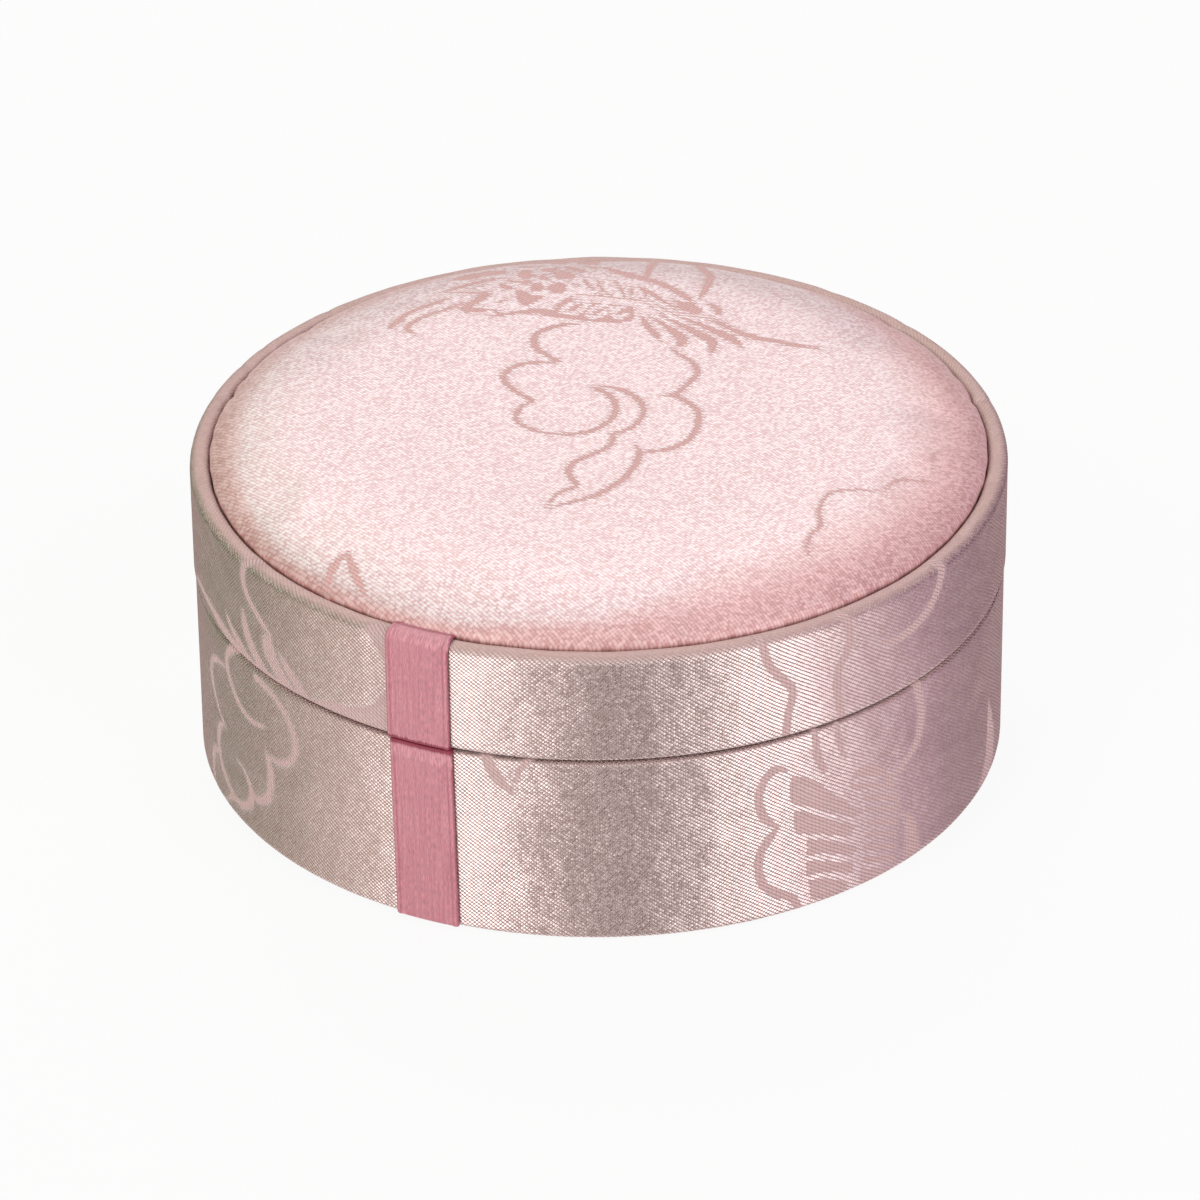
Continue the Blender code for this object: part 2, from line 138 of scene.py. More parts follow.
CRANE_STROKES = [
    # Legs trailing to the left
    ((1.4, 1.6, 1.4, 1.3, 1.2, 1.0, 0.6),
     ((-28.3, 26.9), (-27.4, 28.8), (-26.4, 30.6), (-24.9, 32.1), (-23.1, 33.5), (-21.4, 34.6),
      (-20.2, 35.4))),
    ((0.6, 1.0, 1.4, 1.4, 1.2, 1.1, 1.1, 1.1, 1.2, 0.9),
     ((-24.8, 24.0), (-25.6, 25.1), (-26.1, 26.2), (-25.7, 27.5), (-24.7, 28.8), (-23.5, 29.9),
      (-22.2, 30.7), (-20.9, 31.6), (-19.7, 32.5), (-18.3, 33.4))),
    # Wing tips at the left
    ((0.7, 1.3, 1.4, 1.3, 0.9),
     ((-21.2, 37.5), (-19.3, 38.8), (-17.5, 39.8), (-15.6, 40.6), (-13.6, 41.4))),
    ((0.5, 0.8, 0.6), ((-18, 38), (-16.3, 38.8), (-14.6, 39.6))),
    ((0.7, 1.0, 1.2, 1.8, 1.8, 1.6, 1.8, 1.8, 1.5, 0.8),
     ((-21.4, 37.1), (-19, 36.9), (-16.8, 36.6), (-15.4, 36.0), (-16, 34.9), (-17.1, 33.4),
      (-17.9, 32.3), (-17.9, 31.2), (-16.4, 31.1), (-14.8, 31.1))),
    # Lower edge of the wing
    ((0.8, 1.2, 1.2, 1.6, 2.1, 2.1, 1.9, 1.7, 1.5, 1.4, 1.4, 1.7, 1.2),
     ((-14.9, 29.3), (-12.8, 29.7), (-10.9, 30.2), (-9.1, 30.4), (-7.6, 30.4), (-6.2, 29.9),
      (-5.0, 29.3), (-3.4, 28.6), (-1.6, 28.0), (0.2, 27.6), (2.2, 27.4), (3.8, 27.8),
      (4.8, 28.4))),
    ((0.6, 0.9, 0.9), ((-14.6, 31.6), (-13.9, 30.6), (-13.1, 30))),
    ((0.9, 1.0, 0.8), ((-5.4, 32.0), (-4.4, 33.6), (-3.4, 34.6))),
    # Scales between wing and body
    ((0.7, 0.8, 0.8, 0.8, 0.8, 0.7),
     ((-2.4, 35.2), (0.4, 35.1), (2.3, 34.3), (4.2, 34), (5.6, 33.5), (6.8, 34.1))),
    ((0.6, 1.0, 1.0, 0.7), ((-1.7, 40.7), (-1.5, 39.3), (-1.1, 38.0), (-0.5, 36.8))),
    ((0.6, 0.9, 0.9, 0.8), ((0.2, 40), (0.6, 37.7), (1.2, 36), (2.2, 34.6))),
    ((0.6, 0.9, 0.9, 0.8), ((2.5, 39.7), (3.0, 38), (3.5, 36.2), (3.9, 34.4))),
    ((0.5, 0.8, 0.8), ((4.3, 37.9), (4.8, 36.6), (4.9, 35.4))),
    ((0.6, 0.9, 0.9, 0.7), ((5.6, 38.2), (6.3, 36.8), (6.8, 35.4), (6.7, 34.2))),
    ((0.5, 0.7), ((-4.0, 39.5), (-2.4, 38.0))),
    # Back of the crane, from the upper left to the tail
    ((1.1, 1.8, 1.9, 1.8, 1.6, 1.6, 1.6, 1.7),
     ((1.3, 44.7), (2.9, 42.9), (4.8, 41.4), (7, 40.1), (8.9, 38.6), (10.5, 36.9), (11.7, 35.2),
      (12.7, 33.4))),
    ((1.0, 1.4, 1.5, 1.3), ((6.0, 37.4), (7.6, 35.4), (9.0, 33.6), (10.4, 31.9))),
    # Neck and head strokes that run off at the back
    ((1.5, 1.4, 1.4, 1.5, 1.6, 1.3, 1.0),
     ((8.4, 52.5), (7.9, 51), (8.2, 49.3), (8.0, 47.4), (7.5, 45.4), (7.2, 43.2), (7.1, 40.9))),
    ((1.4, 1.5, 1.5, 1.6, 1.7, 1.6, 1.5, 1.2, 0.5),
     ((14.6, 51.5), (14.7, 49.7), (14.5, 48.1), (14.7, 46.1), (15.5, 43.7), (15.8, 41.1),
      (15.4, 38.2), (14.7, 35.5), (14.1, 33.7))),
    ((0.6, 1.3, 1.5, 0.5), ((15.3, 32.6), (16.2, 31.4), (16.8, 30.2), (16.6, 28.8))),
    # Tail feathers
    ((0.4, 1.5, 1.3, 0.3), ((6.0, 29.4), (6.8, 26.1), (8, 23.3), (8.8, 21))),
    ((0.5, 1.2, 1.9, 2.0, 1.7), ((6.9, 29), (9.1, 26.2), (10.8, 23.7), (11.6, 21.8), (11.4, 20.4))),
    ((0.5, 1.2, 1.8, 1.9, 1.5, 0.4),
     ((8.2, 29.4), (11.2, 26.4), (13.7, 23.7), (15.4, 21.7), (15.8, 19.6), (15.3, 17.2))),
    ((0.4, 1.1, 1.6, 1.9, 0.5), ((9.9, 29.9), (13.1, 27), (16, 24.4), (18.3, 22.1), (20.1, 18.9))),
    ((0.3, 0.9, 1.3, 1.6, 1.5, 1.3, 1.1, 0.2),
     ((13.2, 29), (16.1, 27), (18.2, 24.9), (20.6, 22.9), (23.2, 21.6), (26.1, 20.4), (29, 19.4),
      (32.5, 18.7))),
    ((0.3, 0.7, 0.4), ((14.5, 29.3), (17.6, 26.5), (19.6, 24.6))),
    ((0.4, 0.6, 0.4), ((6.4, 33.2), (7.9, 30.9), (9.6, 28.7))),
    ((0.4, 0.7, 0.5), ((7.6, 33), (9.6, 30.3), (12, 28))),
    ((0.3, 0.6, 0.4), ((9.2, 32.4), (11.2, 30), (14, 27.8))),
]

CRANE_PATCHES = [
    # Wing feathers, largest first
    ((-20.6, 41.9), (-19.5, 43.6), (-16.5, 44.9), (-13.6, 45.2), (-12.4, 44.4), (-12.9, 43),
     (-15, 42.4), (-17.8, 41.4)),
    ((-11.3, 42.2), (-10.8, 44.2), (-9.7, 45.0), (-8.9, 44.4), (-8.5, 43.2), (-8.3, 42),
     (-8.9, 41.2), (-10.6, 41.0)),
    ((-8.1, 44.7), (-7.6, 43.6), (-6.6, 43.2), (-5.7, 43.7), (-5.2, 44.7), (-5.2, 45.8),
     (-6.4, 45.6)),
    ((-6.3, 43), (-5.6, 44), (-4.9, 44.5), (-4.2, 43.9), (-3.4, 42.9), (-2.8, 42), (-2.8, 40.5),
     (-4.4, 40.2), (-5.9, 40.8)),
    ((-4.9, 46.2), (-3.8, 46.6), (-2.9, 45.7), (-2, 44.6), (-1.2, 43.6), (-1.4, 42.8), (-2.3, 42.6),
     (-3.5, 43.6)),
    ((-8.3, 41.9), (-7.4, 42.2), (-6.7, 41.2), (-6.2, 40.3), (-7, 39.9), (-8, 40.2)),
    ((-13.2, 41.7), (-12.4, 41), (-11.2, 40.5), (-8.9, 40.2), (-8.9, 39.2), (-9.9, 38.8),
     (-11.5, 39.3), (-12.8, 40.4)),
    ((-13.9, 39.2), (-13.1, 39.6), (-12.1, 38.8), (-11.2, 37.8), (-11.7, 37), (-12.8, 37.1),
     (-13.6, 38)),
    ((-9.3, 38.9), (-8.2, 39.3), (-7.4, 38.6), (-7, 37.7), (-7.4, 36.7), (-8.3, 36.2),
     (-9.4, 37.2)),
    ((-7, 38), (-6.2, 38.9), (-5, 39.3), (-4.2, 38.6), (-4.1, 37.2), (-4.5, 35.9), (-5.6, 35.6),
     (-6.8, 36.7)),
    ((-11.3, 36.8), (-10.5, 37.2), (-9.7, 36.4), (-8.7, 35.5), (-7.1, 34.8), (-8.1, 33.5),
     (-9.5, 32.2), (-10.5, 32.5), (-11.3, 34.4)),
    ((-14.3, 33.2), (-13.3, 34.1), (-12.4, 34.8), (-12.3, 33.8), (-13.1, 33)),
    # Feathers that run off at the back
    ((-1.9, 46.0), (-1.1, 46.2), (0.2, 45.1), (0.6, 44.2), (-0.3, 44.1), (-1.2, 44.8)),
    ((-12.2, 46.3), (-9.6, 47.0), (-6.8, 46.9), (-7.6, 46.0), (-10, 45.8)),
    ((-10.5, 49.2), (-7.5, 49.9), (-3.6, 50.1), (-4.4, 47.8), (-7.2, 47.9), (-9.6, 48)),
    ((-2.6, 50.2), (0.4, 50.2), (0.6, 47.9), (0.2, 46.6), (-1.6, 47), (-2.9, 47.9)),
    # Under side of the wing
    ((-6.2, 29.8), (-4.6, 28.8), (-1.6, 27.8), (1.4, 27.3), (3.8, 27.6), (5.1, 28.8), (5.3, 30.7),
     (4.6, 32.0), (2.0, 32.5), (-1.0, 33.4), (-3.7, 34.2), (-5.3, 32.8)),
    # Body, ahead of the tail
    ((8.2, 34.2), (9.5, 34.4), (11.2, 33.6), (12.6, 33.9), (13.6, 32.4), (14.8, 29.9), (13.8, 29.1),
     (12.2, 29.7), (10.6, 31), (9.2, 32.4)),
]

CRANE_CUTS = [
    ((0.35, 0.45, 0.3), ((10.2, 35.6), (11.2, 34.2), (12.3, 32.8))),
    ((0.3, 0.4, 0.3), ((8.9, 34.6), (9.8, 33.5), (10.8, 32.2))),
    ((0.5, 0.8, 0.8, 0.5), ((-4.9, 30.2), (-3.2, 29.6), (-2.0, 31.2), (-1.1, 32.6))),
    ((0.5, 0.7, 0.7, 0.5), ((-4.7, 30.6), (-3.9, 32.2), (-2.6, 33.1), (-1.2, 33.2))),
    ((0.5, 0.8, 0.8, 0.5), ((-1.4, 29.1), (-0.3, 28.6), (1.0, 29.8), (1.9, 31.2))),
    ((0.5, 0.7, 0.7, 0.5), ((-1.2, 29.6), (-0.4, 31.0), (0.7, 32.0), (1.6, 32.4))),
    ((0.5, 0.9, 0.6), ((2.2, 29.0), (3.1, 28.4), (4.1, 29.5))),
    ((0.5, 0.8, 0.6), ((2.3, 29.6), (2.9, 31.0), (3.8, 31.5))),
    ((0.3, 0.4, 0.3), ((-8.7, 43.2), (-8.0, 42.4), (-7.0, 42.7))),
]

LID_STROKES = [
    ((1.9, 1.8, 1.7, 1.6, 1.5, 1.3, 1.2, 0.8),
     ((-29.6, 47), (-30.2, 45), (-31.5, 43), (-32, 40.6), (-30.8, 38.3), (-28.4, 36.6),
      (-26.2, 35.1), (-25.6, 34))),
    ((0.6, 1.4, 1.8, 2.0), ((-37.8, 32.6), (-36.5, 31.4), (-34, 29.9), (-31, 28.2))),
    ((0.8, 1.9, 2.1, 2.0), ((-32.3, 35.7), (-31.9, 33.6), (-30.4, 31), (-27.5, 28.5))),
    ((2.5, 3.0, 2.6, 2.2), ((-26.4, 33.7), (-26.1, 32.4), (-24.8, 30.6), (-22, 28.2))),
    ((0.5, 1.5, 1.7, 1.5), ((-23.9, 33.1), (-22.8, 31.8), (-21, 30.2), (-18.6, 28.2))),
    ((0.4, 1.2, 1.5, 1.8, 1.8, 1.2),
     ((-54, 29.2), (-50, 30.1), (-45, 30.2), (-40, 29.6), (-35, 28.7), (-30, 28.1))),
    ((1.0, 1.4, 1.4, 1.0), ((-36, 28.1), (-30, 28.3), (-23, 28.3), (-17, 28.1))),
    ((1.4, 1.6, 1.6, 1.6, 1.6, 1.7, 1.7, 1.6, 1.5),
     ((44.3, 47), (45.2, 44), (45.7, 41.5), (46.5, 39.3), (48, 37.3), (49.6, 35.3), (49.6, 33.5),
      (49, 31), (48.8, 27.5))),
    ((1.4, 1.8, 1.8, 1.8, 1.8, 1.8, 1.7, 1.6),
     ((57, 47), (57.5, 44.5), (58.5, 41), (58.2, 38.2), (57, 36.4), (56.5, 34), (56.8, 31),
      (57.5, 27.5))),
    ((1.8, 2.0, 2.1, 2.0, 2.0, 1.9, 1.8, 1.6, 1.2, 0.6),
     ((74.9, 47), (75.8, 45), (76.3, 43), (75.8, 41), (74.5, 39.1), (72.5, 37.7), (70, 36.8),
      (67, 36.4), (64.5, 36.8), (62.3, 38.2))),
]

LID_PATCHES = [
    ((-17.9, 27.8), (-16.4, 29.3), (-13.8, 30), (-10.4, 30.4), (-8.2, 31.4), (-6.6, 32.9),
     (-5, 35.2), (-3, 37), (-2.6, 27.4), (-10, 27.2)),
    ((-8.4, 43.2), (-7, 41.3), (-5.4, 39), (-3.6, 38), (-3, 44), (-6, 44.6)),
]

BASE_STROKES = [
    # Cloud left of the ribbon
    ((1.7, 1.7, 1.5, 1.4, 1.4, 1.3, 1.2, 1.0, 0.6),
     ((-35.2, 28.2), (-37, 27), (-38.5, 25), (-38.2, 22.7), (-36.6, 20.8), (-34.2, 19.3),
      (-31.5, 18.8), (-29.2, 19.2), (-28, 19.7))),
    ((1.5, 1.5, 1.3, 1.3, 1.4, 1.5, 1.5, 1.3, 0.8),
     ((-30, 26.3), (-27.5, 26), (-25, 25), (-23, 23.3), (-21.8, 21.2), (-21.6, 19), (-22.5, 16.9),
      (-24.9, 15.4), (-28, 15.2))),
    ((1.2, 1.7, 1.8, 1.7, 1.6, 1.4, 1.2),
     ((-27.9, 15.2), (-27.3, 13.5), (-27.2, 11.5), (-27.8, 9), (-29, 7.6), (-31, 6.7), (-32.6, 7))),
    ((0.6, 0.9, 1.4, 1.7, 1.8, 1.6, 1.4, 1.4, 1.6, 1.8, 1.6, 1.2, 0.5),
     ((-36.5, 10.1), (-34.5, 9.6), (-33, 8.2), (-32.4, 6.5), (-33.2, 4.7), (-35, 3.6), (-37.5, 3.3),
      (-40, 4.3), (-42.3, 6), (-43.4, 8.5), (-43, 11), (-41.8, 12.7), (-39.8, 13.5))),
    ((0.6, 1.1, 1.4, 1.7, 1.4, 1.2, 0.7),
     ((-39.9, 13.0), (-42.6, 14.5), (-44.8, 17), (-45.6, 19.2), (-44.6, 21.2), (-42.5, 22.4),
      (-39.2, 23.1))),
    ((1.0, 1.4, 1.6, 1.5, 1.3), ((-43.2, 7.4), (-45.3, 6.7), (-46.6, 5), (-46.6, 2.5), (-46, 0.6))),
    ((1.2, 0.9, 0.5), ((-38.6, 3), (-40, 2), (-41.3, 1.1))),
    # Tip of a leaf at the seam, right of the ribbon
    ((1.8, 2.0, 1.9, 0.9), ((8.6, 28.4), (9.4, 26), (10.8, 24.1), (12.3, 22.5))),
    ((0.7, 1.2, 1.4), ((12.4, 23.4), (13.3, 26), (15, 28.4))),
    # Cloud on the right
    ((1.0, 1.7, 1.7, 1.7, 1.7, 1.7, 1.6, 0.9),
     ((48.9, 22.8), (47.6, 23.4), (46.2, 22.6), (45.3, 21), (45, 19), (45.5, 17), (46.3, 15.6),
      (47.9, 14.3))),
    ((0.9, 1.7, 1.7, 1.7, 1.7, 1.7, 1.7, 1.5),
     ((47.9, 14.3), (46.6, 13.1), (45.3, 11), (45, 8.5), (45.7, 6), (47.5, 4.2), (49.8, 2.8),
      (51, 0.8))),
    ((2.0, 2.0, 2.0, 2.0, 1.8, 1.6, 1.4, 1.0),
     ((71.1, 28.4), (71.7, 26), (72.2, 24), (72.3, 21.5), (71.5, 18.7), (69.5, 16.8), (67, 15.6),
      (63.6, 15.2))),
    ((0.6, 0.8, 0.8, 0.8, 0.7),
     ((61.5, 25.2), (61.8, 21.6), (63.3, 20.7), (64.8, 22), (65.2, 25.4))),
    ((1.0, 1.6, 1.7, 1.2), ((53.2, 28.2), (53.4, 25.6), (53.8, 23), (55, 20.8))),
    ((0.8, 1.3, 1.3, 0.8), ((56.6, 28.2), (56.9, 25.6), (57.4, 23.4), (58.4, 21.6))),
]

BASE_PATCHES = [
    # Fan of broad feathers on the right
    ((49.3, 19.5), (49.6, 21.7), (51.0, 21.5), (53.6, 19.9), (56.0, 17.4), (59.4, 14.2),
     (61.4, 12.5), (61.8, 11.8), (59.7, 11.7), (56.9, 13.2), (54.2, 14.9), (51.8, 16.2),
     (49.7, 17.2)),
    ((49.9, 14.5), (50.1, 16.5), (51.8, 15.7), (54.2, 14.3), (56.9, 12.6), (59.7, 10.9), (61, 10),
     (60.6, 9.2), (58.7, 9.1), (55.4, 10.6), (52.5, 11.7), (50.5, 12.5)),
    ((52, 9.8), (52.1, 11.3), (53.5, 10.9), (55.4, 10.1), (58, 8.7), (60.3, 7.6), (60.1, 5.9),
     (57.5, 6.7), (54.9, 7.9), (52.2, 8.4)),
    ((51.8, 6.7), (51.9, 7.9), (54, 7.5), (57, 6.1), (59.8, 4.9), (59.6, 3.1), (56.5, 4.4),
     (54.3, 5.1), (52, 5.3)),
    ((52.4, 3.6), (52.4, 4.8), (55, 4.3), (57.8, 3.0), (59, 1.5), (58, 0.7), (55.4, 0.7),
     (52.8, 1.6)),
    # Field that the feathers run out into
    ((58.5, 17.4), (61.0, 19.6), (64.0, 18.4), (66.6, 15.4), (68.0, 11.0), (67.8, 6.0), (66.8, 0.8),
     (60.8, 0.8), (60.9, 4.0), (61.4, 7.6), (61.8, 10.4), (61.0, 14.2)),
    ((68.6, 8.7), (70.2, 8.2), (71.8, 6), (72.3, 3), (72, 0.6), (69.2, 0.6), (68.9, 3), (69, 6)),
    ((93.3, 13.3), (92.9, 10), (92.9, 7), (92.3, 4.6), (91, 2.8), (89.4, 1.4), (93, 0.8),
     (96.4, 1.8), (97.3, 4), (97, 7), (95.6, 10), (94.1, 12.6)),
]

# Row of feather strokes beside the fan: start of the first, step, slant and length
FEATHER_START = (59.6, 17.6)
FEATHER_STEP = (0.05, -1.95)
FEATHER_RUN = (7.4, -2.8)
FEATHER_COUNT = 9
FEATHER_WIDTHS = (0.3, 0.5, 0.3)
# The lowest feather ends this high at least, in millimetres above the table
FEATHER_FOOT = 0.4

# How far round the cloth the figures come again on the hidden side, in millimetres, and how
# much lower: (which strokes, how far, mirrored)
LID_AGAIN = 103.0
FAN_AGAIN = 112.0
REPEAT_DROP = -4.5
LID_REPEATS = (
    (slice(0, 7), LID_AGAIN, True), (slice(7, 10), 113.0, False), (slice(0, 7), 255.0, False),
    (slice(7, 10), 205.0, False),
)
BASE_REPEATS = (
    (slice(0, 7), 89.0, True), (slice(9, 15), FAN_AGAIN, False), (slice(0, 7), 255.0, False),
    (slice(9, 12), 208.0, False),
)
FAN_PATCHES = 7


def feather_rows():
    """Parallel bright lines between feathers, which shorten towards both ends of the row."""
    rows = []
    for place in range(FEATHER_COUNT):
        x = FEATHER_START[0] + FEATHER_STEP[0] * place
        y = FEATHER_START[1] + FEATHER_STEP[1] * place
        share = 0.72 + 0.28 * math.sin(math.pi * (place + 0.5) / FEATHER_COUNT)
        across, along = (run * share for run in FEATHER_RUN)
        if y + along > FEATHER_FOOT:
            line = ((x, y), (x + across * 0.5, y + along * 0.42), (x + across, y + along))
            rows.append((FEATHER_WIDTHS, line))
    return rows


def moved_points(points, across, along, mirror):
    """The same points further round the cloth, turned over if mirror is set."""
    sign = -1.0 if mirror else 1.0
    return tuple((sign * x + across, y + along) for x, y in points)


def moved(lines, across, along=0.0, mirror=False):
    """The same strokes further round the cloth."""
    return [(widths, moved_points(points, across, along, mirror)) for widths, points in lines]


def moved_patches(patches, across, mirror=False):
    """The same patches further round the cloth."""
    return [moved_points(outline, across, 0.0, mirror) for outline in patches]


def repeated(lines, repeats):
    """The strokes, with copies of some of them round the back."""
    copies = [moved(lines[part], across, REPEAT_DROP, mirror) for part, across, mirror in repeats]
    return lines + sum(copies, [])


# Points of a figure's curve from one chosen point to the next
CURVE_STEPS = 6


def curve_through(points, closed=False):
    """Smooth curve through given points.

    Between b and c, with a before and d after them, it is the cubic
    p(t) = (2 b + (c - a) t + (2 a - 5 b + 4 c - d) t^2 + (3 b - a - 3 c + d) t^3) / 2.
    """
    knots = np.array(points, float)
    if closed:
        knots = np.vstack([knots[-1:], knots, knots[:2]])
    else:
        knots = np.vstack([2 * knots[:1] - knots[1:2], knots, 2 * knots[-1:] - knots[-2:-1]])
    a, b, c, d = (knots[i:len(knots) - 3 + i, None, :] for i in range(4))
    t = np.linspace(0, 1, CURVE_STEPS, endpoint=False)[None, :, None]
    bending = (2 * a - 5 * b + 4 * c - d) * t**2 + (3 * b - a - 3 * c + d) * t**3
    curve = 0.5 * (2 * b + (c - a) * t + bending)
    curve = curve.reshape(-1, knots.shape[1])
    return curve if closed else np.vstack([curve, knots[-2:-1]])


def segment_distances(spots, starts, ends):
    """Distance of each spot to each segment, and how far along the segment it is nearest."""
    runs = ends - starts
    lengths = np.maximum((runs**2).sum(1), 1e-12)
    offsets = spots[:, None, :] - starts[None]
    along = np.clip((offsets * runs[None]).sum(2) / lengths, 0, 1)
    away = offsets - along[..., None] * runs[None]
    return np.sqrt((away**2).sum(2)), along


# Distances from a figure are kept up to this one, in millimetres
FAR = 3.0
# Least length and rise that are divided by
TINY = 1e-9


def near(spots, line, margin):
    """Which spots lie in the line's box, widened by a margin."""
    low = line.min(0) - margin
    high = line.max(0) + margin
    return np.flatnonzero(((spots > low) & (spots < high)).all(1))


def stroke_distance(spots, widths, points):
    """Distance from a brush stroke's edge: to its middle line, less half its width there."""
    line = curve_through([(*point, width) for point, width in zip(points, widths)])
    found = near(spots, line[:, :2], FAR)
    result = np.full(len(spots), FAR)
    if len(found):
        away, along = segment_distances(spots[found], line[:-1, :2], line[1:, :2])
        width = line[:-1, 2] + along * (line[1:, 2] - line[:-1, 2])
        result[found] = (away - width / 2).min(1)
    return result


def patch_distance(spots, outline):
    """Distance from a closed outline, negative inside it."""
    line = curve_through(outline, closed=True)
    found = near(spots, line, FAR)
    result = np.full(len(spots), FAR)
    if not len(found):
        return result
    ends = np.roll(line, -1, 0)
    away, _ = segment_distances(spots[found], line, ends)
    x = spots[found, 0][:, None]
    y = spots[found, 1][:, None]
    rise = ends[:, 1] - line[:, 1]
    rise = np.where(np.abs(rise) < TINY, TINY, rise)
    crossing = line[:, 0] + (y - line[:, 1]) / rise * (ends[:, 0] - line[:, 0])
    straddles = (line[:, 1] > y) != (ends[:, 1] > y)
    inside = (straddles & (x < crossing)).sum(1) % 2 == 1
    result[found] = np.where(inside, -1, 1) * away.min(1)
    return result


def figure_distance(spots, strokes, patches=(), cuts=()):
    """Distance of each spot to the nearest woven figure in millimetres, negative inside one."""
    result = np.full(len(spots), FAR)
    for widths, points in strokes:
        result = np.minimum(result, stroke_distance(spots, widths, points))
    for outline in patches:
        result = np.minimum(result, patch_distance(spots, outline))
    for widths, points in cuts:
        result = np.maximum(result, -stroke_distance(spots, widths, points))
    return result


# Surfaces from grids of points


def straight(start, end, spacing):
    """Evenly spaced points on a straight run, without its end."""
    start, end = np.array(start), np.array(end)
    count = max(1, round(float(np.hypot(*(end - start))) / spacing))
    return start + (end - start) * (np.arange(count) / count)[:, None]


def bend(centre, radius, start_deg, end_deg, spacing):
    """Evenly spaced points on a round corner, without its end."""
    sweep = math.radians(end_deg - start_deg)
    count = max(3, round(abs(sweep) * radius / spacing))
    angles = math.radians(start_deg) + sweep * np.arange(count) / count
    return np.array(centre) + radius * np.stack([np.cos(angles), np.sin(angles)], 1)


def path_length(path):
    """How far along the path each point lies, in metres."""
    steps = np.hypot(*np.diff(path, axis=0).T)
    return np.concatenate([[0.0], np.cumsum(steps)])


def path_normals(path):
    """Unit normals on the left of the way a path runs."""
    runs = np.gradient(path, axis=0)
    runs /= np.hypot(*runs.T)[:, None]
    return np.stack([-runs[:, 1], runs[:, 0]], 1)


def grid_cells(rows, columns, wrap_rows, wrap_columns):
    """Row and column of each quad of a grid, whose last row or column may join its first."""
    last_row = rows if wrap_rows else rows - 1
    last_column = columns if wrap_columns else columns - 1
    return np.meshgrid(np.arange(last_row), np.arange(last_column), indexing="ij")


def grid_faces(rows, columns, wrap_rows, wrap_columns):
    """Corner numbers of a grid's quads, so that rows and then columns turn anticlockwise."""
    i, j = grid_cells(rows, columns, wrap_rows, wrap_columns)
    here, below = i * columns, (i + 1) % rows * columns
    right = (j + 1) % columns
    return np.stack([here + j, below + j, below + right, here + right], -1).reshape(-1, 4)


def grid_corners(rows, columns, wrap_rows, wrap_columns, row_marks, column_marks):
    """Cloth place (across, along) of each quad's corners; marks have one value past a wrap."""
    i, j = grid_cells(rows, columns, wrap_rows, wrap_columns)
    left, right = column_marks[j], column_marks[j + 1]
    across = np.stack([left, left, right, right], -1)
    along = np.stack([row_marks[i], row_marks[i + 1], row_marks[i + 1], row_marks[i]], -1)
    return np.stack([across, along], -1).reshape(-1, 4, 2)


def make_mesh(name, places, faces, corners=None, last_face=()):
    """A smooth mesh from points, quads and the cloth place of each quad's corners.

    A last, flat face may close it, given as its corners.
    """
    mesh = bpy.data.meshes.new(name)
    count = places.size // 3
    mesh.vertices.add(count)
    mesh.vertices.foreach_set("co", np.ascontiguousarray(places, np.float32).ravel())
    corner_list = np.concatenate([faces.ravel(), last_face])
    mesh.loops.add(len(corner_list))
    mesh.loops.foreach_set("vertex_index", corner_list.astype(np.int32))
    starts = np.arange(0, faces.size + (1 if len(last_face) else 0), 4)
    mesh.polygons.add(len(starts))
    mesh.polygons.foreach_set("loop_start", starts.astype(np.int32))
    mesh.update(calc_edges=True)
    mesh.shade_smooth()
    if len(last_face):
        mesh.polygons[len(faces)].use_smooth = False
    if corners is not None:
        layer = mesh.uv_layers.new(name="Cloth")
        layer.data.foreach_set("uv", np.ascontiguousarray(corners, np.float32).ravel())
    return mesh


def mark(mesh, name, values):
    """Keep one number on each point of a mesh."""
    layer = mesh.attributes.new(name, "FLOAT", "POINT")
    layer.data.foreach_set("value", np.ascontiguousarray(values, np.float32).ravel())


def place_object(name, data):
    """An object in the scene for a mesh, lamp or camera."""
    placed = bpy.data.objects.new(name, data)
    bpy.context.scene.collection.objects.link(placed)
    return placed


def add_piece(name, mesh, body, slot, node):
    """A piece that rides on a body, has its slot's finish and stands for a CAD node."""
    piece = place_object(name, mesh)
    mesh.materials.append(FINISHES[slot])
    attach(piece, body)
    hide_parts(node)
    return piece


def wander(angles, seed, lowest, highest, size):
    """A smooth closed waver: sines of whole turns with seeded phases, size metres at most."""
    draw = np.random.default_rng(seed)
    turns = np.arange(lowest, highest + 1)
    phases = draw.uniform(0, math.tau, len(turns))
    weights = draw.uniform(0.4, 1.0, len(turns))
    waves = np.sin(turns[:, None] * angles.ravel()[None] + phases[:, None])
    waves = (weights[:, None] * waves).sum(0)
    return size * (waves / weights.sum() * 1.6).reshape(angles.shape)


def bells(turn, places):
    """Sum of narrow bell curves round the axis, each given by its place, width and depth."""
    total = np.zeros_like(turn)
    for place, width, depth in places:
        away = (np.degrees(turn) - place + 180.0) % 360.0 - 180.0
        total += depth * np.exp(-(away / width) ** 2)
    return total


def turned(path, radii_shift, heights_shift, angles):
    """Carry a path round the axis: x = r sin(a), y = -r cos(a), with shifts for each point."""
    radii = path[:, 0][:, None] + radii_shift + 0 * angles
    heights = path[:, 1][:, None] + heights_shift + 0 * angles
    return np.stack([radii * np.sin(angles), -radii * np.cos(angles), heights], -1)


def cover_section(path, thickness, skip):
    """The path, and behind it the cloth's back in larger steps, as one closed section.

    Also tells which point of the path each point of the section comes from.
    """
    normals = path_normals(path)
    picks = np.unique(np.append(np.arange(0, len(path), skip), len(path) - 1))[::-1]
    back = path[picks] - thickness * normals[picks]
    section = np.vstack([path, back])
    return section, np.concatenate([np.arange(len(path)), picks])


# Covers of the lid and the base


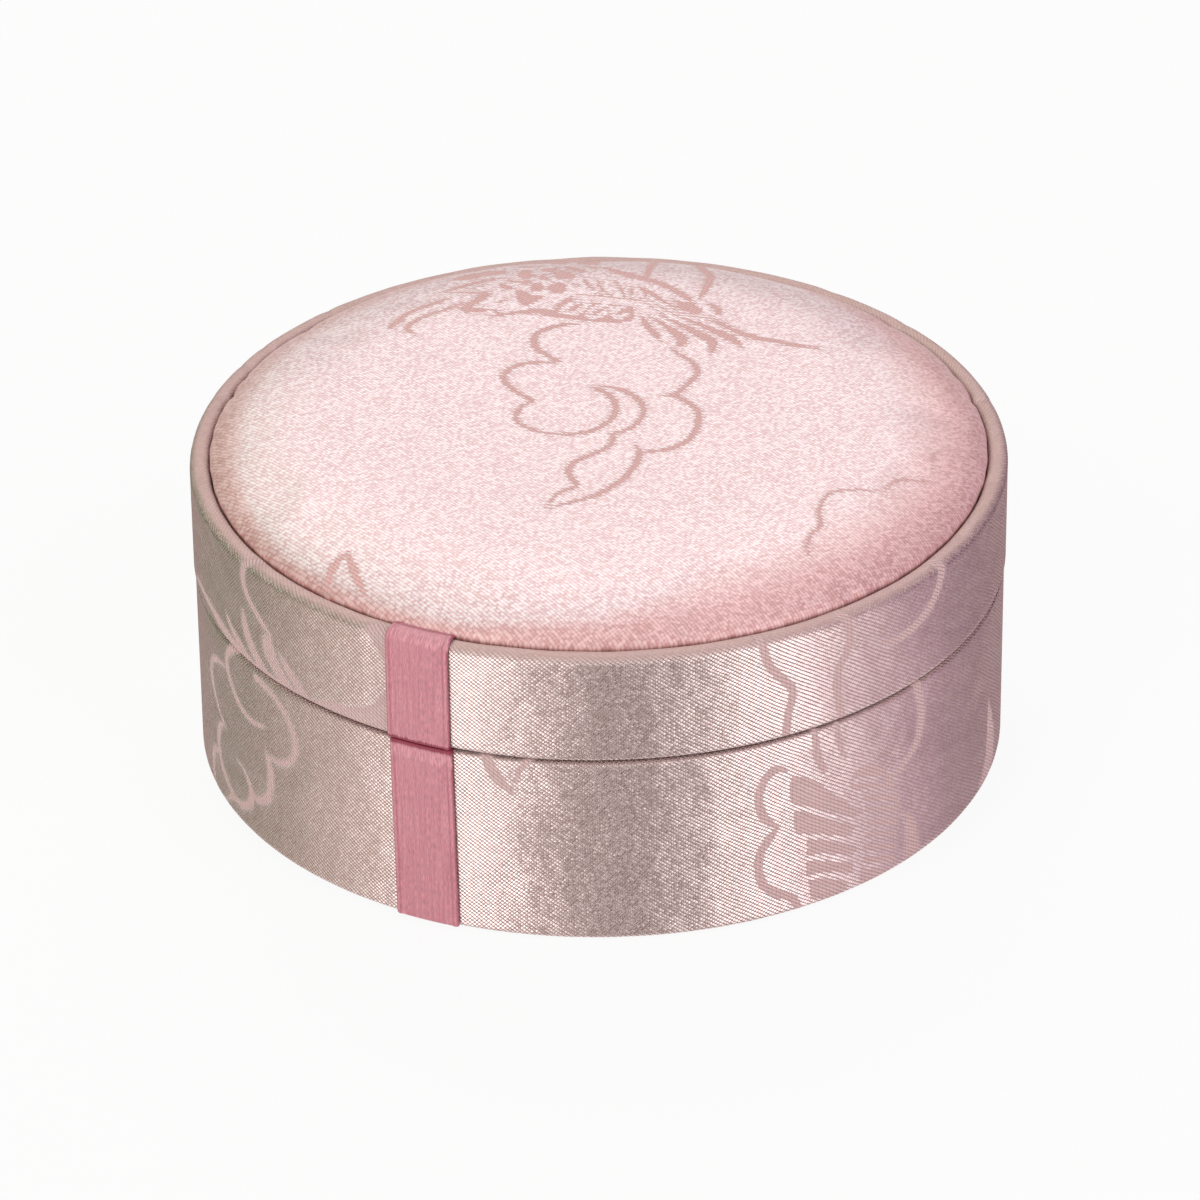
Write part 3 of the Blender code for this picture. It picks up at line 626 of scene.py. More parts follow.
def lid_path():
    """Brocade from the deck up, over the rim, down the wall and up inside its lower edge."""
    inner, outer, bottom, top = LID_BOARD
    fold = BROCADE + GLUE
    rim = RIM_ROUND + fold
    height = top - RIM_ROUND
    in_side = inner - fold
    deck = reach("lid_deck_board")[3] + GLUE
    return np.vstack([
        straight((in_side, deck), (in_side, height), FINE * 1.6),
        bend((inner + RIM_ROUND, height), rim, 180, 90, FINE * 0.6),
        straight((inner + RIM_ROUND, height + rim), (outer - RIM_ROUND, height + rim), FINE * 0.6),
        bend((outer - RIM_ROUND, height), rim, 90, 0, FINE * 0.6),
        straight((outer + fold, height), (outer + fold, bottom), FINE),
        bend((outer, bottom), fold, 0, -90, FINE * 0.7),
        straight((outer, bottom - fold), (inner, bottom - fold), FINE * 2),
        bend((inner, bottom), fold, -90, -180, FINE),
        straight((in_side, bottom), (in_side, bottom - fold + LID_TURN_UP), COARSE),
        [(in_side, bottom - fold + LID_TURN_UP)],
    ])


def base_path():
    """Brocade from inside the wall, over its top edge, down and under the floor."""
    inner, outer, bottom, top = BASE_BOARD
    fold = BROCADE + GLUE
    in_side = inner - fold
    hem = min(BASE_COVER[0], in_side)
    return np.vstack([
        straight((in_side, top - BASE_TURN_IN), (in_side, top - 2.0 * MM), COARSE * 2),
        straight((in_side, top - 2.0 * MM), (in_side, top), COARSE),
        bend((inner, top), fold, 180, 90, FINE),
        straight((inner, top + fold), (outer, top + fold), FINE * 2),
        bend((outer, top), fold, 90, 0, FINE * 0.7),
        straight((outer + fold, top), (outer + fold, bottom), FINE),
        bend((outer, bottom), fold, 0, -90, FINE * 0.7),
        straight((outer, bottom - fold), (hem, bottom - fold), COARSE),
        [(hem, bottom - fold)],
    ])


def wall_marks(path, zero_height):
    """Path length counted upwards, so that on the plain wall it equals the height."""
    lengths = path_length(path)
    wall = int(np.argmin(np.abs(path[:, 1] - zero_height) + (path[:, 0] < path[:, 0].max() - 1e-6)))
    return path[wall, 1] + lengths[wall] - lengths


def tautness(section):
    """1 where the cloth is drawn over the lid's rim and 0 on the walls."""
    return np.clip((section[:, 1] - (LID_BOARD[3] - 0.1 * MM)) / (0.6 * MM), 0, 1)


def revolved(name, section, marks, columns, out, up):
    """A closed section carried round the axis, with marks along the cloth and arcs round it."""
    rows = len(section)
    angles = math.tau * np.arange(columns) / columns
    around = math.tau * OUTER_RADIUS * np.arange(columns + 1) / columns
    places = turned(section, out, up, angles[None])
    corners = grid_corners(rows, columns, True, True, np.append(marks, marks[0]), around)
    return make_mesh(name, places, grid_faces(rows, columns, True, True), corners), around


def wall_cover(name, path, middle_height, figures, waver, body, node):
    """Brocade cover of one wall, with its figures (strokes, patches and cuts) marked on it."""
    columns = int(round(math.tau * OUTER_RADIUS / AROUND))
    section, origin = cover_section(path, BROCADE, 6)
    upward = wall_marks(path, middle_height)[origin]
    out, up = waver(section, math.tau * np.arange(columns) / columns)
    mesh, around = revolved(name, section, upward, columns, out, up)
    half_turn = math.tau * OUTER_RADIUS / MM / 2
    arcs = (around[:-1] / MM + half_turn) % (2 * half_turn) - half_turn
    across, along = np.meshgrid(arcs, upward / MM)
    spots = np.stack([across.ravel(), along.ravel()], 1)
    away = np.full(len(spots), FAR)
    for shift in (0.0, 2 * half_turn):
        away = np.minimum(away, figure_distance(spots + (shift, 0), *figures))
    mark(mesh, "figure", away)
    mark(mesh, "taut", tautness(section)[:, None] * np.ones(columns))
    piece = add_piece(name, mesh, body, "brocade", node)


# Small pulls of the cloth along the rim: degrees round from the ribbon, width in degrees, depth
RIM_PULLS = (
    (-148.0, 2.2, 0.22 * MM), (-121.0, 1.6, 0.18 * MM), (-111.5, 1.0, 0.34 * MM), (-97.2, 0.9, 0.30 * MM),
    (-91.2, 0.9, 0.30 * MM), (-81.4, 1.0, 0.22 * MM), (-58.0, 1.8, 0.15 * MM), (-33.0, 1.5, 0.32 * MM),
    (-29.0, 1.0, -0.16 * MM), (23.0, 1.5, 0.12 * MM), (58.0, 2.0, 0.20 * MM), (88.0, 1.4, 0.20 * MM),
    (104.0, 1.8, 0.26 * MM), (128.0, 1.0, 0.34 * MM), (153.5, 1.3, 0.32 * MM), (168.0, 1.7, 0.18 * MM),
)


def lid_waver(section, angles):
    """Out and up shifts of the lid's cover: a slack rim with small pulls, and a nearly true wall."""
    angles = angles[None]
    heights = section[:, 1][:, None]
    rim = np.clip((heights - (LID_BOARD[3] - 2.0 * MM)) / (2.6 * MM), 0, 1) ** 2
    inner = (section[:, 0] < LID_BOARD[0] + 0.4 * MM)[:, None] * rim
    wall = wander(angles, 11, 3, 14, 0.05 * MM) + wander(angles, 12, 40, 90, 0.012 * MM)
    slack = wander(angles, 13, 9, 60, 0.11 * MM)
    pulls = bells(angles, RIM_PULLS)
    out = wall + rim * slack * 0.5 - inner * (pulls * 0.8 + slack * 0.4)
    up = rim * (wander(angles, 14, 7, 48, 0.13 * MM) - pulls * 0.5)
    return out, up


def base_waver(section, angles):
    """Out and up shifts of the base's cover."""
    angles = angles[None]
    heights = section[:, 1][:, None]
    out = wander(angles, 21, 3, 14, 0.04 * MM) + wander(angles, 22, 40, 90, 0.010 * MM)
    foot = np.clip(1 - heights / (2.0 * MM), 0, 1)
    return out + foot * wander(angles, 23, 20, 70, 0.05 * MM), 0.0


# Round cushions


def disc_grid(count):
    """A square grid bent into a disc: ring numbers and angles of its points.

    The ring is the larger of |a| and |b| on the square, and each square ring becomes a circle.
    """
    a, b = np.meshgrid(np.arange(-count, count + 1), np.arange(-count, count + 1))
    rings = np.maximum(np.abs(a), np.abs(b))
    safe = np.maximum(rings, 1)
    wide = np.abs(a) >= np.abs(b)
    eighth = math.pi / 4
    first = np.where(a >= 0, 0, 4 * eighth) + eighth * b / np.where(wide & (a != 0), a, safe)
    second = np.where(b >= 0, 2 * eighth, 6 * eighth) - eighth * a / np.where(wide | (b == 0), safe, b)
    return rings, np.where(wide, first, second)


# Points of a crown's curve before it is evened out
CROWN_POINTS = 4000


def crown_path(radius, edge, rise, fullness, spacing):
    """Half section of a domed top, evenly spaced: (r / radius) ** fullness + (z / rise) ** 2 = 1."""
    turn = np.linspace(0, math.pi / 2, CROWN_POINTS)
    curve = np.stack([radius * np.sin(turn) ** (2 / fullness), edge + rise * np.cos(turn)], 1)
    curve[0, 0] = 0.0
    lengths = path_length(curve)
    count = max(4, round(lengths[-1] / spacing))
    even = np.linspace(0, lengths[-1], count + 1)
    return np.stack([np.interp(even, lengths, curve[:, 0]), np.interp(even, lengths, curve[:, 1])], 1)


def disc_places(rings, angles, path, out=0.0, rise=0.0):
    """Points of a disc: each ring takes its radius and height from a half section, with shifts."""
    radii = path[rings, 0] + out
    return np.stack([radii * np.cos(angles), radii * np.sin(angles), path[rings, 1] + rise], -1)


def closed_disc(name, places, body, slot, node):
    """A square grid of points as a padded piece: one flat face closes its last ring."""
    count = len(places)
    faces = grid_faces(count, count, False, False)[:, ::-1]
    order = np.arange(count * count).reshape(count, count)
    rim = np.concatenate([order[0, :-1], order[:-1, -1], order[-1, :0:-1], order[:0:-1, 0]])
    piece = add_piece(name, make_mesh(name, places, faces, last_face=rim), body, slot, node)
    return piece


def cushion_path(node, card_node, cloth, rise, fullness, draw_in, spacing, hangs=False):
    """Half section of a cushion's outside: crown, drawn-in side and the cloth under its card."""
    _, radius, bottom, top = reach(node)
    card_radius = reach(card_node)[1]
    fold = cloth + GLUE
    side_level = top - bottom - rise
    path = np.vstack([
        crown_path(radius, side_level, rise, fullness, spacing),
        [(radius - draw_in * 0.25, fold + (side_level - fold) * 0.5)],
        bend((card_radius, fold), fold, 0, -90, fold / 2),
        straight((card_radius, 0.0), (card_radius - 4.0 * MM, 0.0), 1.0 * MM),
    ])
    path[:, 1] = top - path[:, 1] if hangs else bottom + path[:, 1]
    return path


# Shader maths


class Signal:
    """A node's output that takes part in sums, so that 1 - mask adds its Math node."""

    def __init__(self, finish, socket):
        self.finish = finish
        self.socket = socket

    def math(self, operation, *values):
        return self.finish.node("ShaderNodeMath", {"operation": operation}, (self, *values))

    def part(self, name):
        return Signal(self.finish, self.socket.node.outputs[name])

    def __add__(self, other):
        return self.math("ADD", other)

    __radd__ = __add__

    def __mul__(self, other):
        return self.math("MULTIPLY", other)

    __rmul__ = __mul__

    def __sub__(self, other):
        return self.math("SUBTRACT", other)

    def __rsub__(self, other):
        return self.finish.node("ShaderNodeMath", {"operation": "SUBTRACT"}, (other, self))

    def __truediv__(self, other):
        return self.math("DIVIDE", other)


class Finish:
    """The nodes of one material."""

    def __init__(self, name, **plain):
        self.material = bpy.data.materials.new(name)
        self.material.use_nodes = True
        self.tree = self.material.node_tree
        self.shader = self.tree.nodes["Principled BSDF"]
        for socket, value in plain.items():
            self.shader.inputs[socket.replace("_", " ")].default_value = value

    def node(self, kind, settings=None, values=(), output=0):
        made = self.tree.nodes.new(kind)
        for key, value in (settings or {}).items():
            setattr(made, key, value)
        pairs = values.items() if isinstance(values, dict) else enumerate(values)
        for key, value in pairs:
            self.join(made.inputs[key], value)
        return Signal(self, made.outputs[output])

    def join(self, socket, value):
        if isinstance(value, Signal):
            self.tree.links.new(value.socket, socket)
        else:
            socket.default_value = value

    def feed(self, socket, value):
        self.join(self.shader.inputs[socket], value)

    def show(self, shader):
        """Put this shader on the surface in place of the plain one."""
        self.join(self.tree.nodes["Material Output"].inputs["Surface"], shader)

    def attribute(self, name):
        return self.node("ShaderNodeAttribute", {"attribute_name": name}, output="Fac")

    def cloth_place(self):
        """Across and along the cloth, in millimetres, from its own map."""
        place = self.node("ShaderNodeUVMap", {"uv_map": "Cloth"}, output="UV")
        split = self.node("ShaderNodeSeparateXYZ", None, (place,), output="X")
        return split / MM, split.part("Y") / MM

    def object_place(self, turn_deg=0.0):
        """X, Y and Z of the object in millimetres, turned about Z."""
        place = self.node("ShaderNodeTexCoord", output="Object")
        turned_place = self.node(
            "ShaderNodeMapping", None,
            {"Vector": place, "Rotation": (0.0, 0.0, math.radians(turn_deg)), "Scale": (1 / MM,) * 3},
        )
        split = self.node("ShaderNodeSeparateXYZ", None, (turned_place,), output="X")
        return split, split.part("Y"), split.part("Z")

    def triple(self, x, y=0.0, z=0.0):
        return self.node("ShaderNodeCombineXYZ", None, (x, y, z))

    def noise(self, place, scale, detail=2.0, roughness=0.5):
        settings = {"noise_dimensions": "3D"}
        values = {"Vector": place, "Scale": scale, "Detail": detail, "Roughness": roughness}
        return self.node("ShaderNodeTexNoise", settings, values)

    def chance(self, place):
        settings = {"noise_dimensions": "3D"}
        return self.node("ShaderNodeTexWhiteNoise", settings, {"Vector": place}, output="Value")

    def ramp(self, value, low, high, start=0.0, end=1.0):
        settings = {"interpolation_type": "SMOOTHSTEP"}
        values = {"Value": value, "From Min": low, "From Max": high, "To Min": start, "To Max": end}
        return self.node("ShaderNodeMapRange", settings, values)

    def mix(self, share, first, second):
        settings = {"data_type": "RGBA"}
        return self.node("ShaderNodeMix", settings, {0: share, 6: first, 7: second}, output=2)

    def tint(self, colour, factor):
        """A colour made lighter or darker by a number."""
        if not isinstance(colour, Signal):
            colour = colour[:3]
        values = {"Vector": colour, "Scale": factor}
        return self.node("ShaderNodeVectorMath", {"operation": "SCALE"}, values)

    def bump(self, height, distance, strength=1.0):
        values = {"Height": height, "Distance": distance, "Strength": strength}
        return self.node("ShaderNodeBump", None, values)


def linear(*screen_values):
    """A colour written in screen values from 0 to 255, as the shader's linear colour."""
    parts = []
    for value in screen_values:
        share = value / 255
        parts.append(share / 12.92 if share <= 0.04045 else ((share + 0.055) / 1.055) ** 2.4)
    return (*parts, 1.0)


def hump(value):
    """0 at whole numbers and 1 midway between them, rounded."""
    share = value.math("FRACT") * 2 - 1
    return 1 - share * share


# Weave of the satin: falling and rising rows of floats to a millimetre, across and along
FALLING_ROWS = (1.25, 1.74)
RISING_ROWS = (-1.83, 1.74)
# Weave of the figures: width and height of one pick, in millimetres
PICK = (0.59, 0.78)


def brocade(
    finish, across, along, ground, gap, figure_colour,
    shine, lean, rough, relief, unevenness, level_share,
):
    """Satin ground of short floats where falling and rising rows cross, with dull woven figures.

    A float is the product of a hump across its falling row and one across its rising row. Each
    float leans back by a share of its height, so that it catches light from above, and tips a
    little to one side by chance, so that it glitters. A figure is falling ribs between upright
    threads, and its edge steps in and out from rib to rib, or from level pick to pick.
    """
    slack = finish.noise(finish.triple(across, along), 0.10, 2.0)
    along = along + slack
    falling = across * FALLING_ROWS[0] + along * FALLING_ROWS[1]
    rising = across * RISING_ROWS[0] + along * RISING_ROWS[1]
    fleck = finish.chance(finish.triple(falling.math("FLOOR"), rising.math("FLOOR")))
    side = finish.chance(finish.triple(rising.math("FLOOR"), falling.math("FLOOR"), 5.0)) - 0.5
    ribs = hump(falling)
    middle = ribs * hump(rising) * (fleck * 0.4 + 0.8)
    dot = middle * 0.6 + ribs * 0.4
    taut = finish.attribute("taut")
    cell = FALLING_ROWS[0] * RISING_ROWS[1] - FALLING_ROWS[1] * RISING_ROWS[0]
    past_fall = falling.math("FRACT") - 0.5
    past_rise = rising.math("FRACT") - 0.5
    above = past_fall * (-RISING_ROWS[0] / cell) + past_rise * (FALLING_ROWS[0] / cell)
    beside = (past_fall - past_rise) * (FALLING_ROWS[1] / cell)

    picks = hump(along / PICK[1])
    threads = hump(across / PICK[0] + slack * 0.8)
    steps = picks * level_share + ribs * (1 - level_share)
    ragged = 0.60 + 0.15 * level_share
    edge = finish.attribute("figure") + (steps - 0.5) * ragged + fleck * 0.14 - 0.07
    deep = finish.ramp(edge, -1.10, -0.50, 1.0, 0.0)
    bright_ribs = finish.ramp(hump(falling * 0.5), 0.50, 0.95) * deep
    figure = (1 - finish.ramp(edge, -0.05, 0.05)) * (1 - bright_ribs * (0.30 * (1 - level_share)))
    plain = 1 - figure
    beside_figure = finish.ramp(edge, 0.10, 0.45, 1.0, 0.0) * ribs
    glint = finish.ramp(dot, 0.08, 0.90).math("MAXIMUM", beside_figure) * (1 - taut * 0.6)

    cloud = finish.noise(finish.triple(across, along), 0.09, 3.0)
    grain = finish.noise(finish.triple(across, along), 2.4, 2.0, 0.6)
    uneven = (fleck - 0.5) * unevenness + (grain - 0.5) * (unevenness * 2.2)
    ground_tone = finish.mix(glint + uneven * 1.6, gap, ground)
    ground_tone = finish.mix(taut * 0.5, ground_tone, linear(210, 181, 175))
    ground_tone = finish.tint(ground_tone, uneven * 0.35 + cloud * 0.08 + 0.93)
    figure_light = finish.ramp(threads, 0.10, 0.55) * (relief * 0.20) + ribs * (relief * 0.48)
    figure_light = figure_light + fleck * 0.06
    figure_tone = finish.tint(figure_colour, figure_light + 1.0 - relief * 0.47)
    finish.feed("Base Color", finish.mix(figure, ground_tone, figure_tone))
    finish.feed("Metallic", plain * (glint * (shine * 0.20) + shine * 0.80) * (1 - taut * 0.6))
    finish.feed("Roughness", figure * (0.60 - rough) + rough + plain * (fleck * 0.10) + taut * 0.15)
    tip = above * (lean * 0.92 + fleck * (lean * 0.16)) + beside * side * (lean * 0.14)
    tip = tip * finish.ramp(middle, 0.0, 0.45) * (1 - taut)
    height = plain * (dot * 0.02 - tip) + figure * (ribs * 0.06 + threads * 0.03)
    finish.feed("Normal", finish.bump(height, MM))
    return finish.material


def wall_brocade():
    """The walls' brocade, whose floats shine like metal and show what is round the box."""
    finish = Finish(
        "Wall brocade", Anisotropic=0.5, Anisotropic_Rotation=0.25, Sheen_Weight=0.04,
        Sheen_Roughness=0.4, Specular_IOR_Level=0.05, Specular_Tint=(0.22, 0.10, 0.12, 1.0),
    )
    across, along = finish.cloth_place()
    return brocade(
        finish, across, along, linear(248, 231, 228), linear(189, 154, 147), linear(214, 184, 181),
        shine=0.98, lean=0.62, rough=0.33, relief=1.0, unevenness=0.12, level_share=0.0,
    )


def pad_brocade():
    """The wall's brocade turned on the pad, with painted shade: pinker towards the edge, darkest where
    tucked in.
    """
    finish = Finish(
        "Pad brocade", Sheen_Weight=0.32, Sheen_Roughness=0.35, Sheen_Tint=(1.0, 0.84, 0.82, 1.0),
        Specular_IOR_Level=0.6,
    )
    across, along, _ = finish.object_place(-PAD_WEAVE_DEG)
    # Painted shade: the cloth turns pinker and darker towards the pad's edge, more on its right side.
    painted_edge_shade = finish.attribute("painted_edge_shade")
    # Painted shade where the cloth tucks down between the pad and the rim.
    painted_tuck_shade = finish.ramp(finish.attribute("roll"), 0.77, 0.90)
    ground = finish.mix(painted_edge_shade, linear(255, 242, 243), linear(244, 208, 206))
    gap = finish.mix(painted_edge_shade, linear(238, 193, 193), linear(228, 167, 164))
    ground = finish.mix(painted_tuck_shade, ground, linear(196, 142, 136))
    gap = finish.mix(painted_tuck_shade, gap, linear(160, 106, 100))
    return brocade(
        finish, across, along, ground, gap, linear(228, 180, 176),
        shine=0.18, lean=0.0, rough=0.38, relief=0.7, unevenness=0.50, level_share=0.8,
    )


def satin(name, colour, shade):
    """Plain lining satin: fine threads and soft unevenness."""
    finish = Finish(name, Sheen_Weight=0.15, Sheen_Roughness=0.35)
    across, along, up = finish.object_place()
    place = finish.triple(across, along, up)
    thread = finish.noise(finish.triple(across * 6, along * 6, up * 6), 1.0, 1.0)
    soft = finish.noise(place, 0.12, 2.0)
    tone = finish.mix(finish.ramp(thread, 0.3, 0.7), shade, colour)
    finish.feed("Base Color", finish.tint(tone, 0.92 + soft * 0.16))
    finish.feed("Roughness", 0.34 + thread * 0.12)
    finish.feed("Metallic", thread * 0.3)
    finish.feed("Normal", finish.bump(thread, 0.03 * MM, 0.4))
    return finish.material


def ribbon_finish():
    """Rose ribbon: upright threads, darker selvedges, painted shade at its edges, fold and tuck, and
    painted highlight on its bends and frayed ends.
    """
    finish = Finish("Rose ribbon", Sheen_Weight=0.15, Sheen_Roughness=0.4)
    across, along = finish.cloth_place()
    streak = finish.noise(finish.triple(across * 3.0, along * 0.12), 1.0, 2.0, 0.5)
    fine = finish.noise(finish.triple(across * 9.0, along * 1.1, 3.0), 1.0, 2.0, 0.6)
    ends = finish.noise(finish.triple(across * 5.0, along * 0.4, 7.0), 1.0, 1.0)
    edge = across.math("ABSOLUTE")
    selvedge = finish.ramp((edge - 3.8).math("ABSOLUTE"), 0.04, 0.20, 1.0, 0.0)
    # Painted shade along the ribbon's outer edges.
    painted_edge_line_shade = finish.ramp(edge, 4.20, 4.42)
    from_seam = finish.attribute("from_seam")
    # Painted shade: the ribbon darkens where it folds into the seam.
    fold = finish.ramp(from_seam + ends * 0.6, 0.75, 1.15, 1.0, 0.0)
    # Frayed thread ends by the seam, made lighter as a painted highlight.
    frayed = finish.ramp(from_seam + ends * 1.2, 1.0, 1.7, 1.0, 0.0) * finish.ramp(ends, 0.42, 0.58)
    # Painted highlight where the ribbon bends over the rim and just below the seam.
    painted_bend_highlight = finish.ramp(along, 2.2, 2.9) * finish.ramp(along, 3.6, 4.6, 1.0, 0.0)
    painted_bend_highlight = painted_bend_highlight * finish.ramp(ends, 0.36, 0.60)
    # Painted shade where the ribbon goes down beside the pad and into the seam.
    tucked = finish.ramp(along, 1.5, 2.0, 1.0, 0.0)
    tone = finish.mix(finish.ramp(streak, 0.30, 0.70), linear(194, 126, 138), linear(208, 143, 153))
    for place, colour in (
        (selvedge * 0.40, linear(168, 78, 98)), (painted_edge_line_shade * 0.60, linear(150, 58, 80)),
        (frayed * 0.55, linear(238, 178, 188)), (painted_bend_highlight * 0.50, linear(236, 176, 186)),
        (tucked * 0.7, linear(150, 52, 76)), (fold * 0.9, linear(138, 30, 58)),
    ):
        tone = finish.mix(place, tone, colour)
    finish.feed("Base Color", finish.tint(tone, fine * 1.30 + 0.49))
    finish.feed("Roughness", streak * 0.16 + 0.44)
    finish.feed("Metallic", fine * 0.12)
    finish.feed("Normal", finish.bump(fine, 0.06 * MM, 0.7))
    return finish.material


def board_finish():
    """Grey board: pressed fibres with pale and dark flecks."""
    finish = Finish("Grey board")
    x, y, z = finish.object_place()
    fibre = finish.noise(finish.triple(x, y, z * 4), 1.6, 4.0, 0.6)
    fleck = finish.ramp(finish.noise(finish.triple(x, y, z), 3.2, 1.0), 0.66, 0.74)
    tone = finish.mix(finish.ramp(fibre, 0.3, 0.7), linear(150, 144, 134), linear(178, 172, 161))
    finish.feed("Base Color", finish.mix(fleck * 0.5, tone, linear(112, 104, 96)))
    finish.feed("Roughness", 0.80 + fibre * 0.15)
    finish.feed("Normal", finish.bump(fibre, 0.06 * MM, 0.6))
    return finish.material


def foam_finish():
    """White foam with open cells."""
    finish = Finish("White foam")
    x, y, z = finish.object_place()
    values = {"Vector": finish.triple(x, y, z), "Scale": 2.2}
    cells = finish.node("ShaderNodeTexVoronoi", {"feature": "F1"}, values, "Distance")
    tone = finish.mix(finish.ramp(cells, 0.1, 0.6), linear(214, 208, 190), linear(240, 236, 224))
    finish.feed("Base Color", tone)
    finish.feed("Roughness", 0.9 + cells * 0.1)
    finish.feed("Normal", finish.bump(cells, 0.2 * MM, 0.7))
    return finish.material


def paper_finish():
    """Pink paper under the base: fine fibres and faint blotches."""
    finish = Finish("Underside paper")
    x, y, z = finish.object_place()
    fibre = finish.noise(finish.triple(x * 1.4, y * 0.7, z), 2.4, 5.0, 0.65)
    blotch = finish.noise(finish.triple(x, y, z), 0.08, 2.0)
    tone = finish.mix(finish.ramp(fibre, 0.3, 0.7), linear(214, 186, 182), linear(230, 206, 202))
    finish.feed("Base Color", finish.tint(tone, 0.94 + blotch * 0.12))
    finish.feed("Roughness", 0.66 + fibre * 0.2)
    finish.feed("Normal", finish.bump(fibre, 0.03 * MM, 0.5))
    return finish.material


# The finish of each material slot
FINISHES = {
    "brocade": wall_brocade(),
    "pad_brocade": pad_brocade(),
    "satin": satin("Pale satin", linear(240, 218, 214), linear(222, 190, 186)),
    "ribbon": ribbon_finish(),
    "board": board_finish(),
    "foam": foam_finish(),
    "underside_paper": paper_finish(),
}


def dress_nodes():
    """Give each CAD node that stays its own finish."""
    for row in frame["record"]["subparts"]:
        materials = frame["nodes"][row["node"]].data.materials
        materials.clear()
        materials.append(FINISHES[row["material_slot"]])


# Heights in the middle of the plain walls, where the figures' heights are true
LID_MIDDLE = 36.0 * MM
BASE_MIDDLE = 14.0 * MM


def add_covers():
    """Brocade on the lid's and the base's walls."""
    lid_figures = (
        repeated(LID_STROKES, LID_REPEATS),
        LID_PATCHES + moved_patches(LID_PATCHES[:1], LID_AGAIN, mirror=True),
    )
    wall_cover(
        "lid_brocade", lid_path(), LID_MIDDLE, lid_figures, lid_waver, "lid",
        "lid_wall_cover",
    )
    feathers = feather_rows()
    base_figures = (
        repeated(BASE_STROKES, BASE_REPEATS),
        BASE_PATCHES + moved_patches(BASE_PATCHES[:FAN_PATCHES], FAN_AGAIN),
        feathers + moved(feathers, FAN_AGAIN),
    )
    wall_cover(
        "base_brocade", base_path(), BASE_MIDDLE, base_figures, base_waver, "base",
        "base_wall_cover",
    )


PAD_CROWN = 5.5 * MM
PAD_FULLNESS = 9.0
PAD_DRAW_IN = 0.6 * MM
PAD_SPACING = 0.40 * MM
# How far the pad's side swells over the rim, by height above the lid's board
PAD_LIP_HEIGHTS = (-1.9 * MM, -0.6 * MM, 0.0, 0.5 * MM, 1.1 * MM, 2.5 * MM, 4.6 * MM)
PAD_LIP = (0.0, 0.12 * MM, 0.28 * MM, 0.58 * MM, 0.75 * MM, 0.50 * MM, 0.0)
# Pleats of the pad's cloth: degrees round from the ribbon, width in degrees, depth
PAD_PLEATS = (
    (-81.4, 1.5, 0.50 * MM), (-86.5, 1.1, 0.18 * MM), (-76.5, 1.2, 0.15 * MM), (-104.0, 1.5, 0.15 * MM),
    (127.0, 1.2, 0.30 * MM), (154.0, 1.6, 0.18 * MM), (64.0, 1.3, 0.15 * MM), (-38.0, 1.6, 0.10 * MM),
)
# Where painted shade turns the cloth pinker and darker towards its edge: degrees round from the
# ribbon, and millimetres from the middle
PAINTED_SHADE_PLACES = (-180.0, -150.0, -120.0, -60.0, -30.0, 5.0, 25.0, 45.0, 110.0, 140.0, 160.0, 180.0)
PAINTED_SHADE_RADII = (51.0, 49.0, 46.8, 47.3, 50.3, 50.3, 47.5, 40.0, 39.0, 41.0, 47.0, 51.0)
PAINTED_SHADE_END = 51.5
SIM_RINGS = 36
SIM_FRAMES = 16
SIM_REACH = 0.3 * MM


def painted_edge_shade(places):
    """Share of painted shade: 0 in the middle of the pad and 1 at its edge, starting further in on its
    right side.
    """
    x, y = places[..., 0].ravel(), places[..., 1].ravel()
    starts = np.interp(np.degrees(np.arctan2(x, -y)), PAINTED_SHADE_PLACES, PAINTED_SHADE_RADII)
    widths = np.maximum(0.7 * (PAINTED_SHADE_END - starts), 1.5)
    return np.clip((np.hypot(x, y) / MM - starts) / widths, 0, 1)


